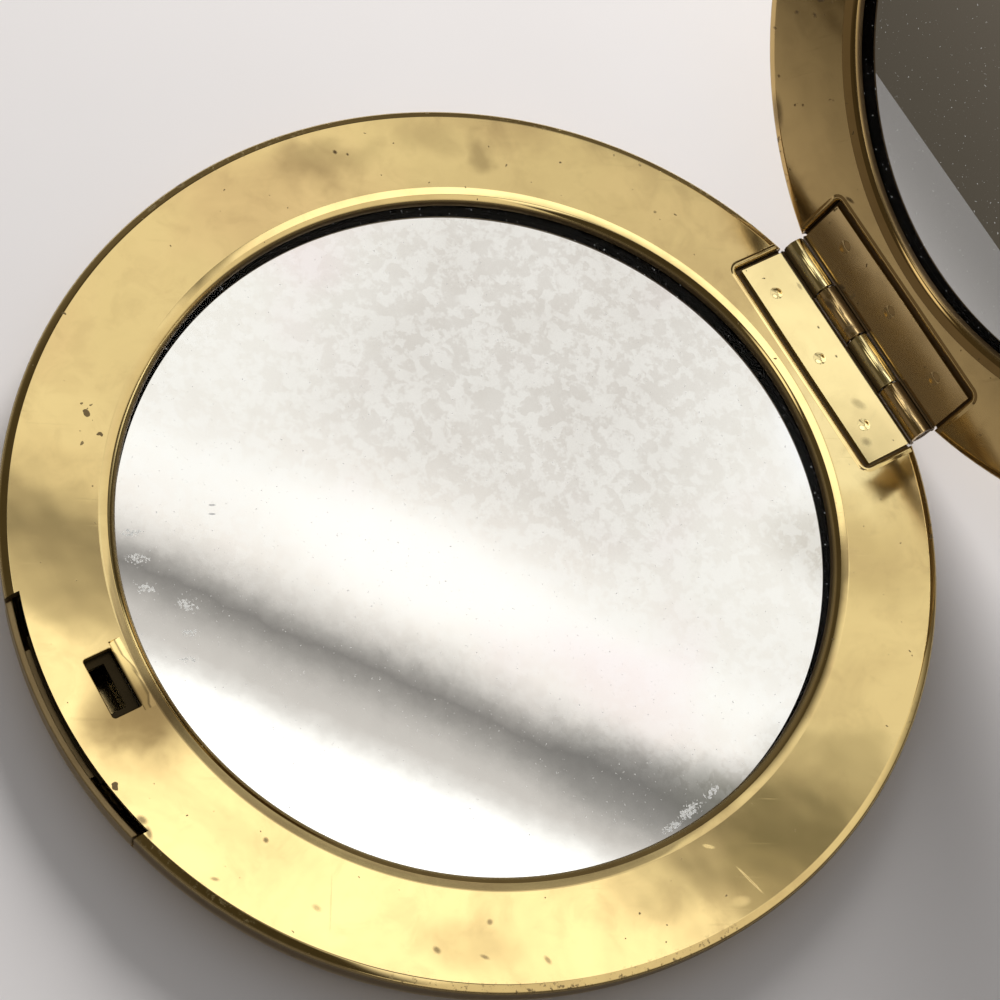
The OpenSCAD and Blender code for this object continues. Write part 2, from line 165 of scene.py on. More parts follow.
def flared_cutter(outline_at, floor, face, border, fillet):
    """Tool that leaves a rounded floor and a rounded border.

    Its outline grows with height z: from minus the fillet at the floor along a quarter circle to 0, up the
    wall, and then out along a quarter circle of the border's radius, until it leaves the face at 10 degrees.
    """
    turn = np.radians(np.linspace(0, 90, 7))
    stations = [(-fillet * (1 - np.sin(a)), floor + fillet * (1 - np.cos(a))) for a in turn]
    flare = np.radians(np.linspace(0, 80, 11))
    stations += [(border * (1 - np.cos(a)), face - border + border * np.sin(a)) for a in flare]
    grow, z = stations[-1]
    stations += [(grow + 0.2, z + 0.2 * math.tan(math.radians(10)))]
    stations += [(grow + 0.2, face + 2.0)]
    return loft([at_height(outline_at(grow), z) for grow, z in stations])


def lid_matrix():
    """Turns a half that lies on its back, in millimetres, over the pin to where the open lid stands."""
    return (
        Matrix.Translation(PIN)
        @ Matrix.Rotation(math.radians(180 - LID_OPEN), 4, "X")
        @ Matrix.Translation((0, PIN[1], -PIN[2]))
        @ Matrix.Rotation(math.pi, 4, "Z")
    )


# ---------------------------------------------------------------------------
# Meshes and pieces


@contextmanager
def edited(mesh):
    """Opens a mesh for bmesh steps, and writes it back after them."""
    work = bmesh.new()
    work.from_mesh(mesh)
    yield work
    work.to_mesh(mesh)
    work.free()


def make_object(name, shape):
    """Object with a mesh of these points, still in millimetres, and these faces, with its doubles merged."""
    points, faces = shape
    mesh = bpy.data.meshes.new(name)
    mesh.from_pydata(np.asarray(points).tolist(), [], faces)
    with edited(mesh) as work:
        bmesh.ops.remove_doubles(work, verts=work.verts, dist=1e-5)
        bmesh.ops.recalc_face_normals(work, faces=work.faces)
    piece = bpy.data.objects.new(name, mesh)
    bpy.context.scene.collection.objects.link(piece)
    return piece


def bake_modifiers(piece):
    """Replaces the piece's mesh by what its modifiers make of it, and removes them."""
    graph = bpy.context.evaluated_depsgraph_get()
    graph.update()
    mesh = bpy.data.meshes.new_from_object(piece.evaluated_get(graph), depsgraph=graph)
    if not mesh.polygons:
        raise RuntimeError(f"{piece.name} lost all its faces")
    piece.modifiers.clear()
    old, piece.data = piece.data, mesh
    bpy.data.meshes.remove(old)


def combine(piece, shape, operation):
    """Adds a solid to the piece or takes it away."""
    tool = make_object("cutting_tool", shape)
    change = piece.modifiers.new("combine", "BOOLEAN")
    change.operation, change.solver, change.object = operation, "MANIFOLD", tool
    bake_modifiers(piece)
    bpy.data.meshes.remove(tool.data)


def soften(piece, width, segments=3):
    """Rounds every sharp edge."""
    bevel = piece.modifiers.new("soften", "BEVEL")
    bevel.width, bevel.segments = width, segments
    bevel.limit_method, bevel.angle_limit = "ANGLE", math.radians(40)
    bevel.use_clamp_overlap = True
    bake_modifiers(piece)


def read_all(items, name, size=1, kind=np.float32):
    """One property of all the items as an array, with a row for each where it has more than one number."""
    values = np.zeros(len(items) * size, kind)
    items.foreach_get(name, values)
    return values.reshape(-1, size) if size > 1 else values


def settle_normals(mesh, up, level):
    """Smooth shading whose flat faces stay flat.

    Edges sharper than the crease are split. At each point of a face that looks straight up, every normal
    that leans from up by less than the crease is set to level, so rounded borders run into the flat. Level
    is up, or leans from it by as little as a sheet that is not quite true.
    """
    mesh.shade_smooth()
    mesh.set_sharp_from_angle(angle=math.radians(CREASE))
    mesh.update()
    face_normal = read_all(mesh.polygon_normals, "vector", 3)
    loop_normal = read_all(mesh.corner_normals, "vector", 3)
    loop_vertex = read_all(mesh.loops, "vertex_index", kind=np.int32)
    loop_face = np.repeat(np.arange(len(mesh.polygons)), read_all(mesh.polygons, "loop_total", kind=np.int32))
    lean = face_normal @ np.asarray(up, np.float32)
    flat = lean > 0.99999
    touches = np.zeros(len(mesh.vertices), bool)
    touches[loop_vertex[flat[loop_face]]] = True
    pick = touches[loop_vertex] & (lean[loop_face] > math.cos(math.radians(CREASE)))
    loop_normal[pick] = np.asarray(level, np.float32)
    mesh.normals_split_custom_set(loop_normal.tolist())


def declare(piece, body, node):
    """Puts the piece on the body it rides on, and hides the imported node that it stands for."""
    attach(piece, body)
    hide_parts(node)


def set_material(piece, finish):
    """Gives the whole piece one finish."""
    piece.data.materials.clear()
    piece.data.materials.append(MATERIALS[finish])


def finish_piece(piece, body, finishes, node, dark=None, lean=0.0):
    """The attribute named lying keeps each point's place on its half as that lies on its back, in centimetres.
    Faces that dark picks take the second finish, which on the frames is painted shade. Lean tips the flat faces'
    shading, in degrees.
    """
    mesh = piece.data
    with edited(mesh) as work:
        bmesh.ops.remove_doubles(work, verts=work.verts, dist=2e-5)
        bmesh.ops.dissolve_degenerate(work, edges=work.edges, dist=1e-6)
    mesh.materials.clear()
    for finish in finishes:
        mesh.materials.append(MATERIALS[finish])
    lying = read_all(mesh.vertices, "co", 3) * CM
    mesh.attributes.new("lying", "FLOAT_VECTOR", "POINT").data.foreach_set("vector", lying.ravel())
    index = np.zeros(len(mesh.polygons), np.int32)
    if dark is not None:
        centre, normal = (read_all(mesh.polygons, name, 3) for name in ("center", "normal"))
        index = dark(centre, normal).astype(np.int32)
    mesh.polygons.foreach_set("material_index", index)
    up = Vector((0, 0, 1))
    level = Vector((0, -math.sin(math.radians(lean)), math.cos(math.radians(lean))))
    if body == "lid":
        mesh.transform(lid_matrix())
        up, level = lid_matrix().to_3x3() @ up, lid_matrix().to_3x3() @ level
    mesh.transform(Matrix.Scale(MM, 4))
    settle_normals(mesh, up, level)
    declare(piece, body, node)


# ---------------------------------------------------------------------------
# Materials

# Strength of the fine scratches, the finishes' relief in metres, the colour that tarnish and painted shade give to
# brass, and the tint of its darker patches
SCRATCHES, RELIEF = 0.35, 0.0001
TARNISH_AND_SHADE, PATCH_TINT = (0.105, 0.062, 0.024), (0.30, 0.27, 0.25)
MATERIALS = {}


def add(tree, kind, inputs=None, **settings):
    """Adds a node with these settings; an input takes a value or, given an output socket, a link."""
    made = tree.nodes.new(kind)
    for key, value in settings.items():
        setattr(made, key, value)
    for key, value in (inputs or {}).items():
        if isinstance(value, bpy.types.NodeSocket):
            tree.links.new(value, made.inputs[key])
        else:
            made.inputs[key].default_value = value
    return made


def math_node(tree, operation, a, b=0.0, c=0.0, clamp=False):
    """Result of one arithmetic step."""
    return add(tree, "ShaderNodeMath", {0: a, 1: b, 2: c}, operation=operation, use_clamp=clamp).outputs[0]


def times(tree, a, b):
    """Product of two values."""
    return math_node(tree, "MULTIPLY", a, b)


def larger(tree, a, b):
    """The larger of two values."""
    return math_node(tree, "MAXIMUM", a, b)


def vector_node(tree, operation, a, b=None, c=None):
    """Result of one step on vectors; a length comes out as a value."""
    inputs = {key: value for key, value in enumerate((a, b, c)) if value is not None}
    made = add(tree, "ShaderNodeVectorMath", inputs, operation=operation)
    return made.outputs["Value" if operation in ("LENGTH", "DOT_PRODUCT") else "Vector"]


def split(tree, vector):
    """The three parts of a vector."""
    return add(tree, "ShaderNodeSeparateXYZ", {0: vector}).outputs


def mix_colour(tree, factor, a, b, blend="MIX"):
    """Colour between a and b."""
    ends = {6: a, 7: b}
    for key, value in ends.items():
        if not isinstance(value, bpy.types.NodeSocket):
            ends[key] = (*value[:3], 1.0)
    return add(tree, "ShaderNodeMix", {0: factor, **ends}, data_type="RGBA", blend_type=blend).outputs[2]


def ramp(tree, factor, low, high):
    """0 at low, 1 at high, and a smooth step between them; low may be the larger."""
    inputs = {"Value": factor, "From Min": low, "From Max": high}
    return add(tree, "ShaderNodeMapRange", inputs, interpolation_type="SMOOTHSTEP").outputs["Result"]


def colour_ramp(tree, factor, stops):
    """Colour ramp with (position, colour) stops."""
    made = add(tree, "ShaderNodeValToRGB", {"Fac": factor})
    bar = made.color_ramp
    while len(bar.elements) > 1:
        bar.elements.remove(bar.elements[-1])
    bar.elements[0].position = stops[0][0]
    bar.elements[0].color = (*stops[0][1], 1.0)
    for position, colour in stops[1:]:
        bar.elements.new(position).color = (*colour, 1.0)
    return made.outputs["Color"]


def noise(tree, vector, scale, detail=2.0, roughness=0.5, distortion=0.0):
    """Noise value from 0 to 1."""
    return add(
        tree, "ShaderNodeTexNoise",
        {"Vector": vector, "Scale": scale, "Detail": detail, "Roughness": roughness, "Distortion": distortion},
    ).outputs["Fac"]


def noise_colour(tree, vector, scale, detail):
    """Three noise values at once, as a colour."""
    return add(tree, "ShaderNodeTexNoise", {"Vector": vector, "Scale": scale, "Detail": detail}).outputs["Color"]


def oval(tree, vector, x, y, length, width, angle=0.0):
    """Distance from the middle of a turned oval, as a share of its half lengths."""
    local = add(
        tree, "ShaderNodeMapping",
        {"Vector": vector, "Location": (x, y, 0.0), "Rotation": (0.0, 0.0, math.radians(angle)),
         "Scale": (length, width, 1000.0)},
        vector_type="TEXTURE",
    ).outputs["Vector"]
    return vector_node(tree, "LENGTH", local)


def new_group(name, inputs, outputs):
    """Node group with named value or vector inputs and value outputs; returns its tree and both ends."""
    tree = bpy.data.node_groups.new(name, "ShaderNodeTree")
    for label, default in inputs:
        kind = "NodeSocketVector" if default is None else "NodeSocketFloat"
        socket = tree.interface.new_socket(name=label, in_out="INPUT", socket_type=kind)
        if default is not None:
            socket.default_value = default
    for label in outputs:
        tree.interface.new_socket(name=label, in_out="OUTPUT", socket_type="NodeSocketFloat")
    return tree, tree.nodes.new("NodeGroupInput").outputs, tree.nodes.new("NodeGroupOutput").inputs


def use_group(tree, name, inputs):
    """Places a node group with its own values; returns its outputs."""
    return add(tree, "ShaderNodeGroup", inputs, node_tree=bpy.data.node_groups[name]).outputs


def build_groups():
    """Effects that several finishes share."""
    tree, given, result = new_group(
        "Tarnish specks", (("Vector", None), ("Scale", 12.0), ("Amount", 0.3), ("Seed", 0.0)), ("Mask",)
    )
    moved = vector_node(tree, "ADD", given["Vector"], given["Seed"])
    bent = vector_node(tree, "MULTIPLY_ADD", noise_colour(tree, moved, 9.0, 2.0), (0.12, 0.12, 0.12), moved)
    cells = add(tree, "ShaderNodeTexVoronoi", {"Vector": bent, "Scale": given["Scale"]})
    pick = add(tree, "ShaderNodeSeparateColor", {0: cells.outputs["Color"]})
    size = times(tree, math_node(tree, "POWER", pick.outputs[0], 4.0), 0.34)
    spot = ramp(tree, math_node(tree, "SUBTRACT", size, cells.outputs["Distance"]), 0.0, 0.05)
    present = math_node(tree, "GREATER_THAN", given["Amount"], pick.outputs[1])
    tree.links.new(times(tree, spot, present), result["Mask"])

    tree, given, result = new_group(
        "Fine scratches", (("Vector", None), ("Scale", 1.0), ("Angle", 0.0), ("Amount", 0.4)), ("Mask",)
    )
    turned = add(
        tree, "ShaderNodeVectorRotate", {"Vector": given["Vector"], "Angle": given["Angle"]}, rotation_type="Z_AXIS"
    ).outputs[0]
    scaled = add(tree, "ShaderNodeVectorMath", {0: turned, "Scale": given["Scale"]}, operation="SCALE").outputs[0]
    thin = vector_node(tree, "MULTIPLY", scaled, (46.0, 1.1, 1.0))
    lines = ramp(tree, noise(tree, thin, 1.0, 1.0), 0.66, 0.74)
    broken = ramp(tree, noise(tree, scaled, 2.3, 2.0), 0.45, 0.62)
    tree.links.new(times(tree, times(tree, lines, broken), given["Amount"]), result["Mask"])

    tree, given, result = new_group(
        "Handled haze", (("Vector", None), ("Scale", 1.0), ("Low", 0.4), ("High", 0.65), ("Seed", 0.0)), ("Mask",)
    )
    moved = vector_node(tree, "ADD", given["Vector"], given["Seed"])
    cloud = noise(tree, moved, given["Scale"], 4.0, 0.62, 0.6)
    tree.links.new(ramp(tree, cloud, given["Low"], given["High"]), result["Mask"])

    tree, given, result = new_group("Distance from centre", (("Vector", None),), ("Radius", "Height"))
    parts = split(tree, given["Vector"])
    flat = add(tree, "ShaderNodeCombineXYZ", {0: parts[0], 1: parts[1]}).outputs[0]
    tree.links.new(vector_node(tree, "LENGTH", flat), result["Radius"])
    tree.links.new(parts[2], result["Height"])


def blank_material(name):
    """Material with an empty tree, its Principled shader and its output joined."""
    material = bpy.data.materials.new(name)
    material.use_nodes = True
    tree = material.node_tree
    tree.nodes.clear()
    shader = tree.nodes.new("ShaderNodeBsdfPrincipled")
    output = tree.nodes.new("ShaderNodeOutputMaterial")
    tree.links.new(shader.outputs["BSDF"], output.inputs["Surface"])
    return material, tree, shader


def feed(tree, shader, **links):
    """Links outputs to the shader's sockets, whose names are given with underscores for spaces."""
    for name, value in links.items():
        tree.links.new(value, shader.inputs[name.replace("_", " ")])


def lying_coordinates(tree, own):
    """Place on the half as it lies, in centimetres: the piece's own attribute, or its Object coordinates."""
    if own:
        return add(tree, "ShaderNodeAttribute", attribute_name="lying", attribute_type="GEOMETRY").outputs["Vector"]
    place = add(tree, "ShaderNodeTexCoord").outputs["Object"]
    return add(tree, "ShaderNodeMapping", {"Vector": place, "Scale": (100.0, 100.0, 100.0)}).outputs["Vector"]


def marks_mask(tree, vector, marks, core=0.2):
    """Largest of soft oval marks, each given as (x, y, half length, half width, angle, strength) in centimetres."""
    total = None
    for *place, strength in marks:
        spot = times(tree, ramp(tree, oval(tree, vector, *place), 1.0, core), strength)
        total = spot if total is None else larger(tree, total, spot)
    return total


def rim_wall_shade_mask(tree, centre, hem):
    """Painted shade under the rolled rim: on its outer wall and the top of the shell's side below it."""
    face = FACE_Z * CM
    high = ramp(tree, centre["Height"], face - 0.013, face - 0.036)
    crevice = times(tree, high, ramp(tree, centre["Height"], face - 0.34, face - 0.16))
    crevice = times(tree, crevice, ramp(tree, centre["Radius"], RIM_R * CM - 0.14, RIM_R * CM - 0.10))
    return times(tree, crevice, hem)


def barrel_shade_and_dirt_mask(tree, place, centre):
    """Painted shade on the barrel's lower flank, and its streaks of dirt."""
    edge = (PIN[1] - BARREL_R - KNUCKLE_GAP) * CM
    barrel = ramp(tree, split(tree, place)[1], edge - 0.012, edge)
    shaded_flank = times(tree, ramp(tree, centre["Height"], PIN[2] * CM + 0.055, PIN[2] * CM + 0.02), barrel)
    drawn = add(tree, "ShaderNodeMapping", {"Vector": place, "Scale": (5.0, 34.0, 34.0)}).outputs["Vector"]
    streaks = ramp(tree, noise(tree, drawn, 1.0, 3.0, 0.65), 0.48, 0.62)
    dirt = times(tree, times(tree, barrel, streaks), 0.5)
    return larger(tree, times(tree, shaded_flank, 0.95), dirt)


def pocket_dirt_and_shade_mask(tree, place, centre):
    """Settled dirt and painted shade in the hinge pocket and notch, and painted shade on the wall of the opening."""
    beside, across_pin = split(tree, place)[:2]
    face = FACE_Z * CM
    pocket = math_node(tree, "GREATER_THAN", across_pin, POCKET_Y * CM - 0.06)
    deep = times(tree, ramp(tree, centre["Height"], face - 0.018, face - 0.05), pocket)
    mouth = math_node(tree, "LESS_THAN", centre["Radius"], (OPENING_R + LIP_R) * CM)
    wall = times(tree, ramp(tree, centre["Height"], face - 0.025, face - 0.06), mouth)
    behind = math_node(tree, "GREATER_THAN", across_pin, NOTCH_Y * CM - 0.004)
    between = math_node(tree, "LESS_THAN", math_node(tree, "ABSOLUTE", beside), NOTCH_HALF * CM - 0.003)
    deep = larger(tree, deep, times(tree, behind, between))
    return times(tree, larger(tree, deep, wall), 0.92)


def brass(name, colour, dull, roughness, haze, specks, rim=0.0, seed=0.0, own=True, marks=(), scuffs=(),
          dark_patches=(), stamped=False, rolled=False, hem=0.0):
    """Aged polished brass: haze and smears that dull it, tarnish specks, fine scratches and a grimy rim."""
    material, tree, shader = blank_material(name)
    place = lying_coordinates(tree, own)

    def mask(group, **values):
        return use_group(tree, group, {"Vector": place, **values})["Mask"]

    smear = mask("Handled haze", Scale=0.9, Low=0.42, High=0.72, Seed=seed)
    cloud = mask("Handled haze", Scale=3.6, Low=0.45, High=0.7, Seed=seed + 5.3)
    speck = mask("Tarnish specks", Scale=9.0, Amount=specks, Seed=seed + 2.1)
    grain = mask("Tarnish specks", Scale=26.0, Amount=specks * 2, Seed=seed + 7.7)
    lines = mask("Fine scratches", Scale=1.0, Angle=0.5 + seed, Amount=SCRATCHES)
    cross = mask("Fine scratches", Scale=1.7, Angle=2.0 + seed, Amount=SCRATCHES * 0.7)
    centre = use_group(tree, "Distance from centre", {"Vector": place})
    edge = ramp(tree, centre["Radius"], RIM_R * CM - 0.10, RIM_R * CM - 0.02)
    crumbs = ramp(tree, noise(tree, place, 22.0, 5.0, 0.7), 0.55, 0.62)
    patches = ramp(tree, noise(tree, place, 0.8, 1.0), 0.50, 0.60)
    grime = times(tree, times(tree, edge, times(tree, crumbs, patches)), rim)

    dullness = math_node(tree, "MULTIPLY_ADD", smear, haze, times(tree, cloud, haze / 2))
    base = mix_colour(tree, dullness, colour, dull)
    # Spots gather tarnish and dirt, and also the painted shade that hem, rolled and stamped add; all of them take the
    # tarnish-and-shade colour.
    spots = larger(tree, larger(tree, times(tree, speck, 0.85), times(tree, grain, 0.7)), grime)
    # Hem adds painted shade under the rolled rim.
    if hem:
        spots = larger(tree, spots, rim_wall_shade_mask(tree, centre, hem))
    if marks:
        spots = larger(tree, spots, marks_mask(tree, place, marks))
    # Rolled adds painted shade on the barrel's lower flank, with streaks of dirt.
    if rolled:
        spots = larger(tree, spots, barrel_shade_and_dirt_mask(tree, place, centre))
    # Stamped adds dirt and painted shade in the pocket and notch, and painted shade on the opening's wall.
    if stamped:
        spots = larger(tree, spots, pocket_dirt_and_shade_mask(tree, place, centre))
    # Darker patches; the two by the latch slot are painted shade.
    if dark_patches:
        half = (0.5, 0.5, 0.5)
        bent = vector_node(tree, "SUBTRACT", noise_colour(tree, place, 2.2, 3.0), half)
        bent = vector_node(tree, "MULTIPLY_ADD", bent, half, place)
        base = mix_colour(tree, marks_mask(tree, bent, dark_patches, 0.15), base, PATCH_TINT, "MULTIPLY")
    rough = math_node(tree, "MULTIPLY_ADD", dullness, 0.09, roughness)
    if scuffs:
        rough = math_node(tree, "MULTIPLY_ADD", marks_mask(tree, place, scuffs), 0.45, rough)
    rough = math_node(tree, "MULTIPLY_ADD", lines, 0.14, rough)
    scored = times(tree, math_node(tree, "ADD", lines, cross), -0.012)
    height = math_node(tree, "MULTIPLY_ADD", noise(tree, place, 1.3, 2.0), 1.2, scored)
    height = math_node(tree, "MULTIPLY_ADD", spots, -0.02, height)
    feed(
        tree, shader,
        Base_Color=mix_colour(tree, spots, base, TARNISH_AND_SHADE),
        Roughness=math_node(tree, "MULTIPLY_ADD", spots, 0.4, rough, clamp=True),
        Metallic=math_node(tree, "SUBTRACT", 1.0, times(tree, spots, 0.55)),
        Normal=add(
            tree, "ShaderNodeBump", {"Height": height, "Strength": 0.25, "Distance": RELIEF}
        ).outputs["Normal"],
    )
    return material


def plain_finish(name, colour, second, scale, roughness, metallic, bump=0.1, own=False, shine=0.5):
    """Unpolished stamped sheet, spring strip, paint or card: two tones in fine noise, with a little relief."""
    material, tree, shader = blank_material(name)
    grain = noise(tree, lying_coordinates(tree, own), scale, 4.0, 0.65)
    feed(
        tree, shader,
        Base_Color=mix_colour(tree, ramp(tree, grain, 0.35, 0.7), colour, second),
        Roughness=math_node(tree, "MULTIPLY_ADD", grain, 0.2, roughness - 0.1),
        Normal=add(
            tree, "ShaderNodeBump", {"Height": grain, "Strength": bump, "Distance": RELIEF}
        ).outputs["Normal"],
    )
    shader.inputs["Metallic"].default_value = metallic
    shader.inputs["Specular IOR Level"].default_value = shine
    return material


def clear_glass():
    """Clear polished plate glass with the faintest trace of dust."""
    material, tree, shader = blank_material("mirror plate glass")
    place = lying_coordinates(tree, True)
    wiped = use_group(tree, "Handled haze", {"Vector": place, "Scale": 1.4, "Low": 0.5, "High": 0.9, "Seed": 1.0})
    feed(
        tree, shader,
        Roughness=times(tree, wiped["Mask"], 0.002),
        Base_Color=mix_colour(tree, wiped["Mask"], (0.985, 0.992, 0.988), (0.975, 0.985, 0.98)),
    )
    shader.inputs["Transmission Weight"].default_value = 1.0
    shader.inputs["IOR"].default_value = 1.52
    shader.inputs["Specular IOR Level"].default_value = 0.06
    shader.inputs["Specular Tint"].default_value = (0.15, 0.15, 0.15, 1.0)
    return material


def silvering(marks, nicks):
    """Mirror silver, with pale crumbled specks near its edge that also glow faintly as painted light, and a few grey
    nicks.
    """
    material, tree, shader = blank_material("mirror silver")
    place = lying_coordinates(tree, True)
    near = math_node(tree, "SUBTRACT", marks_mask(tree, place, marks), 1.0)
    crumbs = ramp(tree, math_node(tree, "MULTIPLY_ADD", near, 0.22, noise(tree, place, 40.0, 3.0, 0.65)), 0.455, 0.50)
    colour = mix_colour(tree, crumbs, (0.955, 0.95, 0.94), (0.97, 0.97, 0.965))
    feed(
        tree, shader,
        Base_Color=mix_colour(tree, marks_mask(tree, place, nicks, 0.5), colour, (0.42, 0.43, 0.44)),
        Metallic=math_node(tree, "SUBTRACT", 1.0, crumbs),
        Roughness=times(tree, crumbs, 0.7),
        # Painted light: the crumbs glow faintly, as if lit through the glass.
        Emission_Color=mix_colour(tree, crumbs, (0.0, 0.0, 0.0), (0.34, 0.34, 0.335)),
    )
    shader.inputs["Emission Strength"].default_value = 1.0
    return material


# ---------------------------------------------------------------------------
# Settings a user would change


class CompactShape(bpy.types.PropertyGroup):
    """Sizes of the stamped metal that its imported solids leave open."""

    pocket_border: FloatProperty(name="Pocket border", description="Radius of the hinge pocket's rounded border",
                                 default=0.22 * MM, unit="LENGTH")
    edge_round: FloatProperty(name="Edge rounding", description="Radius on the small pieces' edges",
                              default=0.06 * MM, unit="LENGTH")


class CompactFinish(bpy.types.PropertyGroup):
    """Colours and wear of the metal."""

    brass: FloatVectorProperty(name="Brass", description="Colour of the clean brass", subtype="COLOR",
                               default=(0.80, 0.63, 0.29), min=0.0, max=1.0)
    dull: FloatVectorProperty(name="Dulled brass", description="Colour of the brass under haze", subtype="COLOR",
                              default=(0.50, 0.36, 0.165), min=0.0, max=1.0)
    wear: FloatProperty(name="Wear", description="Amount of haze and tarnish", subtype="FACTOR",
                        default=0.36, min=0.0, max=1.0)


class CompactStage(bpy.types.PropertyGroup):
    """Camera, floor and light."""

    lens: FloatProperty(name="Lens", description="Focal length of the camera, in millimetres", default=84.44)
    floor: FloatVectorProperty(name="Floor", description="Colour of the floor", subtype="COLOR",
                               default=(0.80, 0.765, 0.75), min=0.0, max=1.0)
    key: FloatProperty(name="Key light", description="Power of the key light, in watts", default=2.7, min=0.0)
    ambient: FloatProperty(name="Ambient", description="Strength of the light from all round", default=0.46, min=0.0)


# ---------------------------------------------------------------------------
# The compact's own measures, in millimetres and degrees

# Stamped ring: its sheet, its lip and how that eases into the face, its rim and its skirt
SHEET = 0.45
LIP_R = 0.9
OPENING_R = GLASS_R - 1.1
EASE_W, EASE_R = 0.36, 0.12
SLOPE_W, BEND_DROP = 0.52, 0.2
LIP_SLOPE, LIP_ROLL, LIP_BEND = 12.4, 26.0, 31.0
RIM_SLOPE, RIM_FLAT = 19.0, 0.38
SKIRT_R, SKIRT_BOTTOM = 34.57, FACE_Z - 1.7

# Shell: its side is kept short of the pin, so that both halves can lie flat
SHELL_T = 0.5
SHELL_TOP = FACE_Z - 2 * SHEET - 0.02
SHELL_FULL = 4.2
SHELL_SIDE_R = RIM_R - 0.08
BACK_FLAT_R = SHELL_R - 4.75
UNDER_HINGE, INSIDE_STEP = 0.08, 0.14

# Mirrors: the glass's ground edge, and the gap that keeps its underside off the silvering
GROUND_EDGE, SILVER_GAP = 0.08, 0.012

# Hinge pocket with its raised border, the notch through the rim, and the apron under the barrel
POCKET_HALF = LEAF_W / 2 + 0.3
POCKET_Y = LEAF_Y - 0.7
POCKET_FLOOR = LEAF_Z - 0.02
POCKET_FILLET = 0.16
SWELL_OUT, SWELL_IN, BORDER_RISE = 0.50, 0.24, 0.045
NOTCH_HALF = LEAF_W / 2 + 0.06
NOTCH_Y = PIN[1] - BARREL_R - 0.25
NOTCH_Z = PIN[2] - BARREL_R - 0.25
APRON_IN, APRON_OUT = BARREL_R + 0.12, BARREL_R + 0.3

# Hinge leaves, pin and studs
LEAF_T = 0.4
LEAF_LEAN = 5.5
KNUCKLE, KNUCKLE_GAP = LEAF_W / 4, 0.16
ROLL_END, ROLL_LAP = 203, 0.5
PIN_R, PIN_ROUND = 0.45, 0.1
STUD_X, STUD_Y = (-6.5, 0.0, 6.5), LEAF_Y + 1.55
STUD_HOLE_R = 0.42
HEAD_R, HEAD_RISE = 0.66, 0.032
HEAD_EDGE, SHANK_TOP = LEAF_Z + 0.395, LEAF_Z + 0.39
SHANK_R, FOOT_R, FOOT_T = 0.4, 0.52, 0.12

# Latch: slot and ramp, the hook's slit, the button and its cut-out, and the button's ledge
LATCH_X = -0.8
SLOT_IN = GLASS_R + 1.0
SLOT_OUT = SLOT_IN + 2.2
SLOT_HALF, RAMP_HALF = 2.4, 2.85
SLOT_CORNER, SLOT_BORDER = 0.2, 0.1
RAMP_RUN, RAMP_DROP = 0.9, 0.25
SLIT_HALF, SLIT_NEAR, SLIT_FAR, SLIT_CORNER = 1.6, -30.7, -31.35, 0.12
BUTTON_HALF = node_size("push_button", 0) / 2
BUTTON_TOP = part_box("push_button")[1][2] / MM
BUTTON_BOTTOM = FACE_Z - SHEET - 0.1 - 2.05
BUTTON_PROUD, BUTTON_WALL, BUTTON_ROUND = 0.06, 0.5, 0.14
CUT_HALF = BUTTON_HALF + 0.2
CUT_R, UNDERCUT_R = 34.73, 33.92
FLANGE_R, LEDGE_R, LEDGE_HALF = 33.18, 35.5, 5.2
LEDGE_TOP, LEDGE_LOW = FACE_Z - 1.27, FACE_Z - 1.72

# How far a cutter reaches past what it cuts
CLEAR = 1.0


def frame_profile():
    """Closed outline of the stamped ring: lip, flat face, rolled rim, hem and skirt.

    From the opening, the lip rises along a parabola that meets its tangents, bends along two arcs to a narrow
    slope, and runs into the face along a third. The rim is a half circle with a short straight slope let into
    it. Short flats keep the face level.
    """
    sine, cosine = (lambda a: math.sin(math.radians(a))), (lambda a: math.cos(math.radians(a)))
    edge = OPENING_R + LIP_R + EASE_W
    ease_r, roll_r, bend_r = EASE_R / sine(LIP_SLOPE), BEND_DROP, BEND_DROP / (sine(LIP_BEND) - sine(LIP_ROLL))
    eased = arc((edge, FACE_Z - ease_r), ease_r, 90 + LIP_SLOPE, 90, 5)
    foot = eased[0] - SLOPE_W * np.array((1.0, math.tan(math.radians(LIP_SLOPE))))
    roll = arc((foot[0] + roll_r * sine(LIP_SLOPE), foot[1] - roll_r * cosine(LIP_SLOPE)), roll_r,
               90 + LIP_ROLL, 90 + LIP_SLOPE, 5)
    bend = arc((roll[0, 0] + bend_r * sine(LIP_ROLL), roll[0, 1] - bend_r * cosine(LIP_ROLL)), bend_r,
               90 + LIP_BEND, 90 + LIP_ROLL, 5)
    start, end = bend[0], np.array((OPENING_R, FACE_Z - LIP_R))
    corner = np.array((end[0], start[1] - (start[0] - end[0]) * math.tan(math.radians(LIP_BEND))))
    k = np.linspace(0, 1, 15)[:-1, None]
    wall = (1 - k) ** 2 * end + 2 * k * (1 - k) * corner + k ** 2 * start
    lip = (OPENING_R + LIP_R, FACE_Z - LIP_R)
    slope = math.radians(RIM_SLOPE)
    step = np.array((RIM_FLAT * math.cos(slope), -RIM_FLAT * math.sin(slope)))
    radius = SHEET + step[1] / 2
    rim = np.array((RIM_R - radius - step[0], FACE_Z - radius))
    near = 0.02
    return np.vstack((
        wall, bend[:-1], roll, eased,
        [(edge + near, FACE_Z), (rim[0] - near, FACE_Z)],
        arc(rim, radius, 90, 90 - RIM_SLOPE, 6), arc(rim + step, radius, 90 - RIM_SLOPE, -90, 22),
        [(SKIRT_R, FACE_Z - 2 * SHEET), (SKIRT_R, SKIRT_BOTTOM), (SKIRT_R - SHEET, SKIRT_BOTTOM),
         (SKIRT_R - SHEET, FACE_Z - SHEET)],
        arc(lip, LIP_R - SHEET, 90, 180, 12),
    ))


